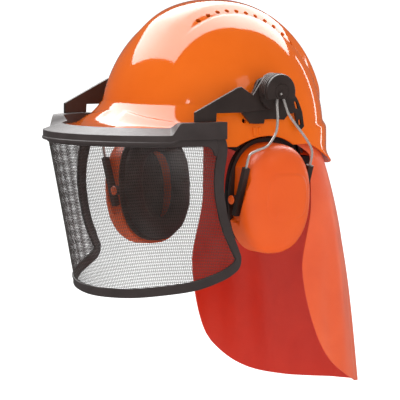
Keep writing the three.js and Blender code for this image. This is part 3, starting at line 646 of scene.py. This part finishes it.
def cutter(name, blocks):
    """One mesh of several closed blocks; it is used by a boolean and then removed."""
    points, faces = [], []
    for rows in blocks:
        rows = np.asarray(rows)
        base = len(points)
        points.extend(rows.reshape(-1, 3))
        for face in grid_faces(rows.shape[0], rows.shape[1], round_columns=True, caps=True):
            faces.append(tuple(base + i for i in face))
    mesh = bpy.data.meshes.new(name)
    mesh.from_pydata((np.array(points) * MM).tolist(), [], faces)
    work = bmesh.new()
    work.from_mesh(mesh)
    bmesh.ops.recalc_face_normals(work, faces=work.faces)
    work.to_mesh(mesh)
    work.free()
    piece = bpy.data.objects.new(name, mesh)
    bpy.context.scene.collection.objects.link(piece)
    return piece


def cut_with(piece, tool):
    change = piece.modifiers.new("cut", "BOOLEAN")
    change.operation = "DIFFERENCE"
    change.solver = "MANIFOLD"
    change.object = tool
    apply_modifiers(piece)
    mesh = tool.data
    bpy.data.objects.remove(tool)
    bpy.data.meshes.remove(mesh)


def make_shell():
    angles = np.arange(SHELL_COLUMNS) / SHELL_COLUMNS * 2 * math.pi
    outside = shell_surface(0, angles, 40, 96)
    inside = shell_surface(-SHELL_WALL, angles, 14, 26)
    away = outside[0] - outside[1]
    away /= np.linalg.norm(away, axis=1)[:, None]
    half = (outside[0] - inside[0]) / 2
    middle = (outside[0] + inside[0]) / 2
    lip = [middle + half * math.cos(a) + away * 1.2 * math.sin(a)
           for a in (math.radians(d) for d in (150, 120, 90, 60, 30))]
    rows = outside + inside[::-1] + lip
    shell = looped("shell_moulded", rows, "root", SHELL_ORANGE, ["helmet_shell"], 40)
    holes = []
    for side in (1, -1):
        for i in range(VENT_COUNT):
            y = VENT_FIRST_Y + VENT_PITCH * i - VENT_CLOSE_UP * i * i
            x = VENT_X + VENT_SPREAD * max(0, y - SPREAD_FROM_Y) ** 2
            plan = (x / SHELL_HALF_WIDTH) ** 2 + (y / SHELL_HALF_LENGTH) ** 2
            z = SHELL_HEIGHT * math.sqrt(1 - plan) - SHELL_HEIGHT / 4
            axis = (side * x, y, SHELL_HEIGHT / 2)
            holes.append(cylinder_points((side * x / 2, y / 2, z), axis, VENT_RADIUS, 90))
        start = (side * 95 - 15, SIDE_HOLE_Y, SIDE_HOLE_Z)
        holes.append(cylinder_points(start, (1, 0, 0), SIDE_HOLE_RADIUS, 30))
    cut_with(shell, cutter("shell_holes", holes))
    dress(shell, "root", SHELL_ORANGE, (), 40)


def make_slot_ribs():
    """Two short ribs beside the accessory slot on each flank."""
    for side, label in ((1, "left"), (-1, "right")):
        for number, y in enumerate((-24, -17), 1):
            place, half = np.array([side * 100.3, y, 8.5]), np.array([1.2, 1.5, 4.5])
            name = f"slot_rib_{number}_{label}"
            bevel(box_piece(name, place - half, place + half, "root", SHELL_ORANGE), 0.8)


# ---------------- visor

def visor_point(angle, z, off=0.0):
    t = (VISOR_TOP_Z - z) / (VISOR_TOP_Z - VISOR_BOTTOM_Z)
    a = mix(*VISOR_HALF, t) + off
    b = mix(*VISOR_DEPTH, t) + off
    turn = np.radians(angle)
    z = np.broadcast_to(z, np.shape(turn)) if np.ndim(turn) else z
    return np.stack([a * np.sin(turn), mix(*VISOR_CENTRE, t) - b * np.cos(turn), z + 0 * turn], -1)


PER_DEGREE = math.radians(1) * VISOR_HALF[0]


def visor_outline(steps):
    """The whole outline, evenly spaced, with the direction that points into the sheet."""
    whole = VISOR_EDGE + [(-a, z) for a, z in VISOR_EDGE[-2::-1]]
    flat = catmull([(a * PER_DEGREE, z) for a, z in whole], 0.5, 40)
    walked = np.concatenate([[0], np.cumsum(np.linalg.norm(np.diff(flat, axis=0), axis=1))])
    even = np.linspace(0, walked[-1], steps)
    line = np.stack([np.interp(even, walked, flat[:, i]) for i in range(2)], 1)
    along = np.gradient(line, axis=0)
    along /= np.linalg.norm(along, axis=1)[:, None]
    return line, np.stack([along[:, 1], -along[:, 0]], 1)


def band_width(z):
    """The edging is broad down the two sides and narrower along the foot."""
    return mix(BAND_FOOT_WIDTH, BAND_SIDE, smooth(z, -130, -85))


def inset_outline(steps, share, shift=0.0):
    """The outline moved inwards by a share of the edging's local width, plus a shift."""
    line, inward = visor_outline(steps)
    moved = line + inward * (band_width(line[:, 1]) * share + shift)[:, None]
    return moved[:, 0] / PER_DEGREE, np.minimum(moved[:, 1], VISOR_TOP_Z)


def make_edge_frame():
    """A soft moulded edging, thicker at its two borders than along its middle."""
    section = [(0, 0, 1.0), (0, 0.5, 1.7), (0, 1.6, 1.9), (0, 2.6, 1.45),
               (1, -2.6, 1.45), (1, -1.6, 1.9), (1, -0.5, 1.7), (1, 0, 1.0)]
    section += [(share, shift, -off) for share, shift, off in section[::-1]]
    columns = [visor_point(*inset_outline(320, share, shift), off) for share, shift, off in section]
    capped("visor_edging", np.stack(columns, 1), "visor", RIM_BLACK, ["visor_edge_frame"], 50)


def make_top_strip():
    """The edging's upper side: a strip below the rim with rounded inner corners."""
    rows = []
    reach = VISOR_EDGE[0][0] - 1.5
    for angle in np.linspace(-reach, reach, 201):
        corner = (reach - abs(angle)) * PER_DEGREE - BAND_SIDE
        across = 1 - np.clip(corner / STRIP_FILLET, 0, 1)
        fillet = STRIP_FILLET * (1 - math.sqrt(max(0, 1 - across ** 2)))
        foot = STRIP_FOOT - (fillet if corner > 0 else STRIP_FILLET)
        section = [(STRIP_HALF, VISOR_TOP_Z), (STRIP_HALF, foot + 0.8), (0.8, foot), (-0.8, foot),
                   (-STRIP_HALF, foot + 0.8), (-STRIP_HALF, VISOR_TOP_Z)]
        rows.append([np.append(visor_point(angle, (z + VISOR_TOP_Z) / 2, off)[:2], z)
                     for off, z in section])
    capped("visor_top_strip", rows, "visor", RIM_BLACK, (), 50)


def make_visor_rim():
    rows = []
    for angle in np.linspace(-RIM_REACH, RIM_REACH, 193):
        block = float(smooth(abs(angle), BLOCK_FROM, BLOCK_TO))
        high, shoulder = mix(RIM_FLANGE_TOP, BLOCK_TOP, block), mix(RIM_LIP_TOP, BLOCK_TOP, block)
        inner, low = mix(-RIM_FLANGE, -BLOCK_INNER, block), mix(RIM_LIP_BOTTOM, BLOCK_BOTTOM, block)
        under = mix(RIM_LIP_TOP - RIM_WALL, BLOCK_UNDER, block)
        ceiling = mix(RIM_FLANGE_TOP - RIM_WALL, BLOCK_UNDER, block)
        bead = 0.9 * (1 - block)
        section = [
            (RIM_LIP, low), (RIM_LIP + bead, low + 0.8), (RIM_LIP + bead, low + 2.2),
            (RIM_LIP, low + 3.2), (RIM_LIP, shoulder), (inner, high), (inner, ceiling),
            (RIM_LIP - RIM_WALL, under), (RIM_LIP - RIM_WALL, low),
        ]
        rows.append([np.append(visor_point(angle, VISOR_TOP_Z, off)[:2], z) for off, z in section])
    rim = capped("visor_top_rim", rows, "visor", RIM_BLACK, ["visor_rim"], 40)
    bevel(rim, 0.8, 3, 25)


def make_visor_mesh():
    """Woven wire cloth: every wire is a thin tube that passes over and under its neighbours."""
    reach_angle, reach_z = inset_outline(400, 0.6)
    half = len(reach_z) // 2 + 1
    order = np.argsort(reach_z[:half])
    edge_z, edge_angle = reach_z[:half][order], reach_angle[:half][order]
    levels = np.arange(VISOR_TOP_Z, edge_z[0], -LEVEL_PITCH)
    widest = max(edge_angle)
    count = int(2 * widest * PER_DEGREE / UPRIGHT_PITCH)
    turns = np.linspace(-widest, widest, count)
    inside = np.abs(turns)[None, :] <= np.interp(levels, edge_z, edge_angle)[:, None]
    sign = (-1.0) ** (np.arange(len(levels))[:, None] + np.arange(count)[None, :])
    points, faces = [], []

    def add_wire(line, side, radius):
        if len(line) < 3:
            return
        line = np.array(line)
        along = np.gradient(line, axis=0)
        along /= np.linalg.norm(along, axis=1)[:, None]
        out = np.cross(along, side)
        out /= np.linalg.norm(out, axis=1)[:, None]
        across = np.cross(out, along)
        base = sum(len(p) for p in points)
        spin = np.radians((90, 210, 330))
        section = np.stack([line + (out * math.sin(a) + across * math.cos(a)) * radius for a in spin], 1)
        points.append(section.reshape(-1, 3))
        for face in grid_faces(len(line), 3, round_columns=True, caps=True):
            faces.append(tuple(base + i for i in face))

    def runs(flags):
        edges = np.flatnonzero(np.diff(np.concatenate([[0], flags.astype(int), [0]])))
        return zip(edges[::2], edges[1::2])

    for j, turn in enumerate(turns):
        side = np.array([math.cos(math.radians(turn)), math.sin(math.radians(turn)), 0])
        for a, b in runs(inside[:, j]):
            line = [visor_point(turn, levels[i], WEAVE * sign[i, j]) for i in range(a, b)]
            add_wire(line, side, UPRIGHT_RADIUS)
    for i, z in enumerate(levels):
        for a, b in runs(inside[i]):
            line = [visor_point(turns[j], z, -WEAVE * sign[i, j]) for j in range(a, b)]
            add_wire(line, np.array([0, 0, 1.0]), LEVEL_RADIUS)
    build("visor_wire_cloth", np.concatenate(points), faces, "visor", MESH_BLACK, ["visor_mesh"], 80)


# ---------------- hub, arms and wires

def make_side_parts(side, label):
    refined(f"visor_arm_{label}", "visor", BLACK, 0.7)
    refined(f"muff_bracket_{label}", "root", BLACK, 0.5)
    make_turret(side, label)
    make_cap_and_rivet(side, label)
    make_yoke(side, label)
    for end in ("front", "rear"):
        refined(f"wire_guide_{end}_{label}", f"carriage_{label}", BLACK, 0.4)
        refined(f"pivot_button_{end}_{label}", f"cup_{label}", CUP_ORANGE, 0.5)


def lathe_x(profile, side, centre_y, centre_z, count=96):
    """Rows of circles about an axis along X; profile gives (x, radius)."""
    turn = np.arange(count) / count * 2 * math.pi
    return [np.stack([np.full(count, side * x), centre_y + radius * np.cos(turn),
                      centre_z + radius * np.sin(turn)], 1) for x, radius in profile]


def block_rows(low, high, side):
    """A box as two rows of four corners, for a cutter."""
    (x0, y0, z0), (x1, y1, z1) = low, high
    return [[(side * x, y, z) for y, z in ((y0, z0), (y1, z0), (y1, z1), (y0, z1))] for x in (x0, x1)]


def make_turret(side, label):
    """The hub's barrel, with moulded grooves round it, cut away where the wires hang."""
    x0, x1 = TURRET_X
    edge = HUB_RADIUS - 0.7
    profile = [(x0, 0), (x0, edge), (x0 + 0.7, HUB_RADIUS)]
    for groove in (2.6, 5.2, 7.8):
        profile += [(x0 + groove - 0.6, HUB_RADIUS), (x0 + groove - 0.3, edge),
                    (x0 + groove + 0.3, edge), (x0 + groove + 0.6, HUB_RADIUS)]
    profile += [(x1 - 0.7, HUB_RADIUS), (x1, edge), (x1, 0)]
    turret = ringed(f"hub_turret_{label}_moulded", lathe_x(profile, side, HUB_Y, HUB_Z),
                    f"hub_{label}", BLACK, [f"hub_turret_{label}"], 40)
    pocket = block_rows((POCKET_BACK, -60, 0), (140, 60, POCKET_TOP), side)
    slot = block_rows((POCKET_BACK + 0.5, -60, POCKET_TOP - 1), (117.2, 60, YOKE_Z + 2.3), side)
    cut_with(turret, cutter("wire_pocket", [pocket]))
    cut_with(turret, cutter("wire_slot", [slot]))
    dress(turret, f"hub_{label}", BLACK, (), 40)
    bevel(turret, 0.3, 2)


def make_cap_and_rivet(side, label):
    """The cap has a shallow ringed dish; a small bright rivet sits in its own dark collar."""
    hub = f"hub_{label}"
    x0, x1 = CAP_X
    profile = [(x0, 0), (x0, CAP_RADIUS - 0.4), (x0 + 0.4, CAP_RADIUS), (x1 - 1.2, CAP_RADIUS),
               (x1 - 0.4, CAP_RADIUS - 0.4), (x1, CAP_RADIUS - 1.3), (x1, 9.2), (x1 - 0.5, 8.8),
               (x1 - 0.5, 7.9), (x1, 7.5), (x1, 0)]
    cap = ringed(f"hub_cap_{label}_moulded", lathe_x(profile, side, HUB_Y, HUB_Z), hub,
                 BLACK, [f"hub_cap_{label}"], 40)
    pocket = block_rows((POCKET_BACK, -60, 0), (140, 60, POCKET_TOP), side)
    cut_with(cap, cutter("cap_pocket", [pocket]))
    dress(cap, hub, BLACK, (), 40)
    low, high = (np.array(c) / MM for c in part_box(f"hub_rivet_{label}"))
    y, z = (low[1] + high[1]) / 2, (low[2] + high[2]) / 2
    base = min(abs(low[0]), abs(high[0])) - 0.3
    collar = [(base, 0), (base, 3.2), (base + 0.5, 3.2), (base + 0.8, 2.9), (base + 0.8, 2.4),
              (base + 0.3, 2.1), (base + 0.3, 0)]
    ringed(f"hub_collar_{label}", lathe_x(collar, side, y, z, 48), hub, BLACK, (), 40)
    head = [(base + 0.35, 0), (base + 0.35, 1.3), (base + 0.8, 1.2), (base + 1.3, 0.7), (base + 1.5, 0)]
    ringed(f"hub_rivet_{label}_head", lathe_x(head, side, y, z, 32), hub, STEEL,
           [f"hub_rivet_{label}"], 60)


def make_yoke(side, label):
    slope = math.tan(math.radians(GUIDE_SLOPE))
    front, rear = CUP_Y - GUIDE_HALF, CUP_Y + GUIDE_HALF

    def leg(z):
        return CUP_X + GUIDE_OUT + (z - CUP_Z) * slope

    route = [
        (leg(-66), front, -66), (leg(-42), front, -42), (leg(-18), front, -18),
        (118.6, front + 2.5, -12), (120.5, front + 10, -8.5), (121.3, -23, -4), (120.6, -12.5, 8),
        (118.5, -8.5, 22), (115.4, -7, 36), (YOKE_X, -5.4, 42.6), (YOKE_X, -2, YOKE_Z),
        (YOKE_X, 1.4, 42.6), (115.4, 3, 36), (118, 5.5, 26), (118.8, 11.5, 18), (118.6, 19, 10),
        (118.4, 28, 0), (118, rear - 1, -9), (leg(-18), rear, -18), (leg(-42), rear, -42),
        (leg(-66), rear, -66),
    ]
    path = catmull(route, 0.4, 8) * (side, 1, 1)
    capped(f"yoke_wire_{label}_bent", tube_rows(path, YOKE_RADIUS, 12), f"yoke_{label}",
           STEEL, [f"yoke_wire_{label}"], 50)


# ---------------- ear cups

def oval(x, half_height, half_width, count=160):
    a = np.arange(count) / count * 2 * math.pi
    return np.stack([np.full(count, float(x)), half_width * power(np.cos(a), CUP_SQUARE),
                     half_height * power(np.sin(a), CUP_SQUARE)], 1)


def place_cup(rows, side, tilt=CUP_LEAN):
    a = math.radians(tilt)
    p = np.asarray(rows, float)
    x = p[..., 0] * math.cos(a) + p[..., 2] * math.sin(a) + CUP_X
    z = -p[..., 0] * math.sin(a) + p[..., 2] * math.cos(a) + CUP_Z
    return np.stack([x * side, p[..., 1] + CUP_Y, z], -1)


def cup_details(rows):
    """Presses the guides' channels into the two flanks and raises a soft panel on the face."""
    a = math.radians(GUIDE_SLOPE - CUP_LEAN)
    x, y, z = rows[..., 0], rows[..., 1], rows[..., 2]
    across = x * math.cos(a) - z * math.sin(a)
    up = x * math.sin(a) + z * math.cos(a)
    outside = np.maximum(smooth(across, 9.4, 12.6), 1 - smooth(up, -26, -22))
    limit = CUP_HALF_WIDTH - CUP_PRESS + 14 * outside
    y = np.clip(y, -limit, limit)
    u, v = (y - 4) / 25.0, (z - 4) / 22.0
    border = np.abs(u) ** 4 + np.abs(v) ** 3
    panel = PANEL_RAISE * (1 - smooth(border, 0.92, 1.1)) * smooth(x, 17, 22)
    return np.stack([x + panel, y, z], -1)


def make_cup(side, label):
    h, w, d = CUP_HALF_HEIGHT, CUP_HALF_WIDTH, CUP_DEPTH
    rows = [oval(x, h, w) for x in np.linspace(-10, 2, 9)]
    for u in np.sin(np.linspace(0.05, math.pi / 2, 44)):
        shrink = 34 * (1 - math.sqrt(max(0, 1 - u ** 3)))
        rows.append(oval(2 + (d - 2) * u, h - shrink, w - shrink * 0.78))
    last_h, last_w = h - 34, w - 26.5
    for t in (0.75, 0.5, 0.25, 0.0):
        rows.append(oval(d + 0.5 * (1 - t), last_h * t, last_w * t))
    rows += [oval(d - 4, 0, 0), oval(d - 4, h - 36, w - 27), oval(16, h - 16, w - 16),
             oval(4, h - 12, w - 12.5), oval(-10, h - 12, w - 12.5)]
    rows = cup_details(np.array(rows))
    looped(f"ear_cup_{label}_moulded", place_cup(rows, side), f"cup_{label}", CUP_ORANGE,
           [f"ear_cup_{label}"], 45)


def ring_rows(profile, outer, inner, count=120):
    """A closed oval ring: profile gives (x, t), where t runs from the outer oval to the inner."""
    return [oval(x, mix(outer[0], inner[0], t), mix(outer[1], inner[1], t), count) for x, t in profile]


def make_plate(side, label):
    profile = [(-13.2, 0.02), (-12.4, 0), (-11.1, 0), (-10.3, 0.03), (-10.3, 0.97), (-10.7, 1),
               (-12.8, 1), (-13.2, 0.97)]
    rows = np.array(ring_rows(profile, PLATE_OUTER, PLATE_INNER)) + (0, 0, RING_LIFT)
    plate = looped(f"cup_plate_{label}_moulded", place_cup(rows, side), f"cup_{label}",
                   BLACK, [f"cup_plate_{label}"], 50)
    bevel(plate, 0.3, 2)


SWELL_STEPS = 20


def swell(piece, pressure, cap, voxel):
    """Fills a soft piece with air in a short cloth simulation; no point moves further than the cap."""
    remesh = piece.modifiers.new("even", "REMESH")
    remesh.mode = "VOXEL"
    remesh.voxel_size = voxel * MM
    apply_modifiers(piece)
    before = np.array([v.co[:] for v in piece.data.vertices])
    cloth = piece.modifiers.new("cloth", "CLOTH")
    cloth.settings.quality = 5
    cloth.settings.use_pressure = True
    cloth.settings.uniform_pressure_force = pressure
    cloth.settings.tension_stiffness = 8
    cloth.settings.effector_weights.gravity = 0
    scene = bpy.context.scene
    for step in range(1, SWELL_STEPS + 1):
        scene.frame_set(step)
    apply_modifiers(piece)
    after = np.array([v.co[:] for v in piece.data.vertices])
    moved = after - before
    far = np.linalg.norm(moved, axis=1)
    moved *= np.minimum(1, cap * MM / np.maximum(far, 1e-9))[:, None]
    piece.data.vertices.foreach_set("co", (before + moved).ravel())
    scene.frame_set(1)
    return soften(piece)


def soften(piece):
    smoothing = piece.modifiers.new("settled", "SMOOTH")
    smoothing.factor, smoothing.iterations = 0.5, 3
    finer = piece.modifiers.new("finer", "SUBSURF")
    finer.levels = finer.render_levels = 1
    return apply_modifiers(piece)


def make_cushions():
    """Each cushion is a ring filled with air, with its welded seam beside the plate."""
    profile = [(-26, 0.22), (-27.2, 0.5), (-26, 0.78), (-22, 0.96), (-16, 0.99), (-14.6, 0.9),
               (-14.6, 0.1), (-16, 0.01), (-22, 0.03)]
    rows = np.array(ring_rows(profile, CUSHION_OUTER, CUSHION_INNER, 96)) + (0, 0, RING_LIFT)
    for side, label in ((1, "left"), (-1, "right")):
        piece = looped(f"ear_cushion_{label}_padded", place_cup(rows, side), f"cup_{label}",
                       CUSHION, [f"ear_cushion_{label}"], 60)
        swell(piece, 3, 1.6, 3.2)
        wrinkle(piece, 0.35, 90)
        piece = dress(piece, f"cup_{label}", CUSHION, (), 70)
        seam = oval(-15.4, 55.2, 41.2, 120) + (0, 0, RING_LIFT)
        seam = tube_rows(place_cup(np.vstack([seam, seam[:1]]), side), 0.7, 6)
        looped(f"ear_cushion_{label}_seam", seam[:-1], f"cup_{label}", CUSHION, (), 60)


def wrinkle(piece, height, scale):
    """Small creases, from smooth seeded noise along each vertex's normal."""
    mesh = piece.data
    for vertex in mesh.vertices:
        lift = noise.noise(vertex.co * scale) * height * MM
        vertex.co += vertex.normal * lift


def make_liner(side, label):
    rows = [oval(3, 0, 0, 64), oval(3, 38.5, 24.5, 64), oval(4, 40, 26, 64), oval(8, 39.6, 25.6, 64),
            oval(9, 38, 24, 64), oval(9, 0, 0, 64)]
    liner = ringed(f"foam_liner_{label}_cut", place_cup(rows, side), f"cup_{label}", FOAM,
                   [f"foam_liner_{label}"], 60)


# ---------------- harness

def head_ring(z0, z1, inset, thick, reach, steps, front_rise):
    a = np.radians(np.linspace(-reach, reach, steps))
    lift = front_rise * np.clip(np.cos(a), 0, None) ** 2
    drop = -HEAD_NAPE_DROP * np.clip(-np.cos(a), 0, None) ** 2
    rows = []
    for r, z in ((-inset, z0 + drop), (thick - inset, z0 + drop), (thick - inset, z1 + lift + drop),
                 (-inset, z1 + lift + drop)):
        across, along = (HEAD_HALF_WIDTH + r) * np.sin(a), -(HEAD_HALF_LENGTH + r) * np.cos(a)
        rows.append(np.stack([across, along, z + 0 * a], 1))
    return np.stack(rows, 1)


def make_harness():
    band = capped("headband_moulded", head_ring(HEAD_LOW, HEAD_HIGH, 0, 2, 141, 160, 8), "root",
                  HARNESS_BLACK, ["headband"], 50)
    bevel(band, 0.5, 2)
    ring = head_ring(HEAD_LOW + 3, HEAD_HIGH - 3, 3.4, 2.4, 61, 90, 7)
    pad = capped("sweatband_padded", ring, "root", SWEAT, ["sweatband"], 60)
    swell(pad, 1.5, 0.6, 1.6)
    dress(pad, "root", SWEAT, (), 70)
    for letter in ("a", "b"):
        refined(f"crown_strap_{letter}", "root", WEBBING, 0.2, 2)
    for place in ("front_left", "front_right", "rear_left", "rear_right"):
        refined(f"crown_clip_{place}", "root", HARNESS_BLACK, 0.8)
    refined("ratchet_housing", "root", HARNESS_BLACK, 0.7)
    refined("rack_tail_left", "rack_left", HARNESS_BLACK, 0.25, 2)
    refined("rack_tail_right", "rack_right", HARNESS_BLACK, 0.25, 2)
    make_knob()


def make_knob():
    """The ratchet's knob: a plain shaft and a head with ribs round its edge."""
    low, high = (np.array(c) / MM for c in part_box("ratchet_knob"))
    x, z = (low[0] + high[0]) / 2, (low[2] + high[2]) / 2
    turn = np.arange(192) / 192 * 2 * math.pi
    ribs = 0.7 * np.clip(np.cos(turn * 24), 0, 1) ** 0.5
    # Each row of the knob's profile: its radius, its height, and how deep the ribs cut into it.
    profile = [(0, 0, 0), (2.8, 0, 0), (2.8, 4.3, 0), (9.2, 4.3, 0.2), (10.4, 5.2, 1), (10.4, 8, 1),
               (9.5, 9.0, 0.6), (7.8, 9.2, 0), (7.2, 8.6, 0), (2.5, 8.6, 0), (0, 8.6, 0)]
    rows = []
    for radius, height, depth in profile:
        r = radius - ribs * depth
        level = np.full(len(turn), low[1] + height)
        rows.append(np.stack([x + r * np.cos(turn), level, z + r * np.sin(turn)], 1))
    ringed("ratchet_knob_ribbed", rows, "knob", BLACK, ["ratchet_knob"], 40)


# ---------------- neck cape

def cape_point(s, t, off=0.0):
    """s runs from the wearer's right edge to the left, t from the top seam to the hem."""
    side = np.abs(s)
    drop = 1 - t
    turn = s * math.pi / 2
    half = mix(CAPE_HALF[1], CAPE_HALF[0], drop ** 0.8) + off
    straight = (CAPE_REACH[1] - CAPE_REACH[0] - CAPE_BULGE) * t
    reach = CAPE_REACH[0] + CAPE_BULGE * (1 - drop ** 4) + straight + off
    top = CAPE_TOP_Z + CAPE_TAB_RISE * smooth(side, 0.8, 0.97) - NAPE_DIP * smooth(1 - side, 0.15, 0.75)
    hem = mix(CAPE_HEM_Z, CAPE_FRONT_Z, side ** 5)
    edge = mix(CAPE_TAB_Y, mix(*CAPE_EDGE_Y, smooth(t, 0.35, 0.75)), smooth(t, 0, 0.1)) - CAPE_MID_Y
    y = CAPE_MID_Y + reach * np.cos(turn) + edge * side ** 6
    return half * np.sin(turn), y, mix(top, hem, t)


def cape_folds(s, t):
    """Soft upright folds that start below the seam and open towards the hem."""
    wave = 1.5 * np.sin(s * 9.5 + 0.8)
    wave = wave + 1.1 * np.sin(s * 17 + 2.1 * t + 2.0) + 0.5 * np.sin(s * 31 - 1.5 * t)
    return wave * smooth(t, 0.04, 0.8)


def make_cape():
    s, t = np.meshgrid(np.linspace(-1, 1, 181), np.linspace(0, 1, 141))
    near_hem = np.clip((t - 0.7) / 0.3, 0, 1)
    s = s * (1 - CORNER * (1 - np.sqrt(1 - near_hem ** 2)))
    off = cape_folds(s, t)
    sides = []
    for face in (0.5, -0.5):
        x, y, z = cape_point(s, t, off + face * CAPE_THICK)
        sides.append(np.stack([x, y, z], -1))
    rows = np.concatenate([sides[0], sides[1][:, ::-1]], 1)
    first = np.concatenate([sides[1][:1, :], sides[1][:1, ::-1]], 1)
    last = np.concatenate([sides[1][-1:, :], sides[1][-1:, ::-1]], 1)
    whole = np.concatenate([first, rows, last], 0)
    cape = ringed("neck_cape_sheet", whole, "root", CAPE, ["neck_cape"], 60)
    # Painted shade: marks the cape's inner faces, which the material paints darker and redder.
    shaded_inner_side = cape.data.attributes.new("shaded_inner_side", "FLOAT", "POINT")
    for vertex, value in zip(cape.data.vertices, shaded_inner_side.data):
        outward = vertex.normal.x * vertex.co.x + vertex.normal.y * (vertex.co.y - CAPE_MID_Y * MM)
        value.value = 1.0 if outward < 0 else 0.0


# ---------------- making it

make_world()
make_camera()
make_floor()
make_lights()

make_shell()
make_slot_ribs()
make_edge_frame()
make_top_strip()
make_visor_rim()
make_visor_mesh()
for side, label in ((1, "left"), (-1, "right")):
    make_side_parts(side, label)
    make_cup(side, label)
    make_plate(side, label)
    make_liner(side, label)
make_cushions()
make_harness()
make_cape()
refined("cape_band", "root", HARNESS_BLACK, 0.4, 2)
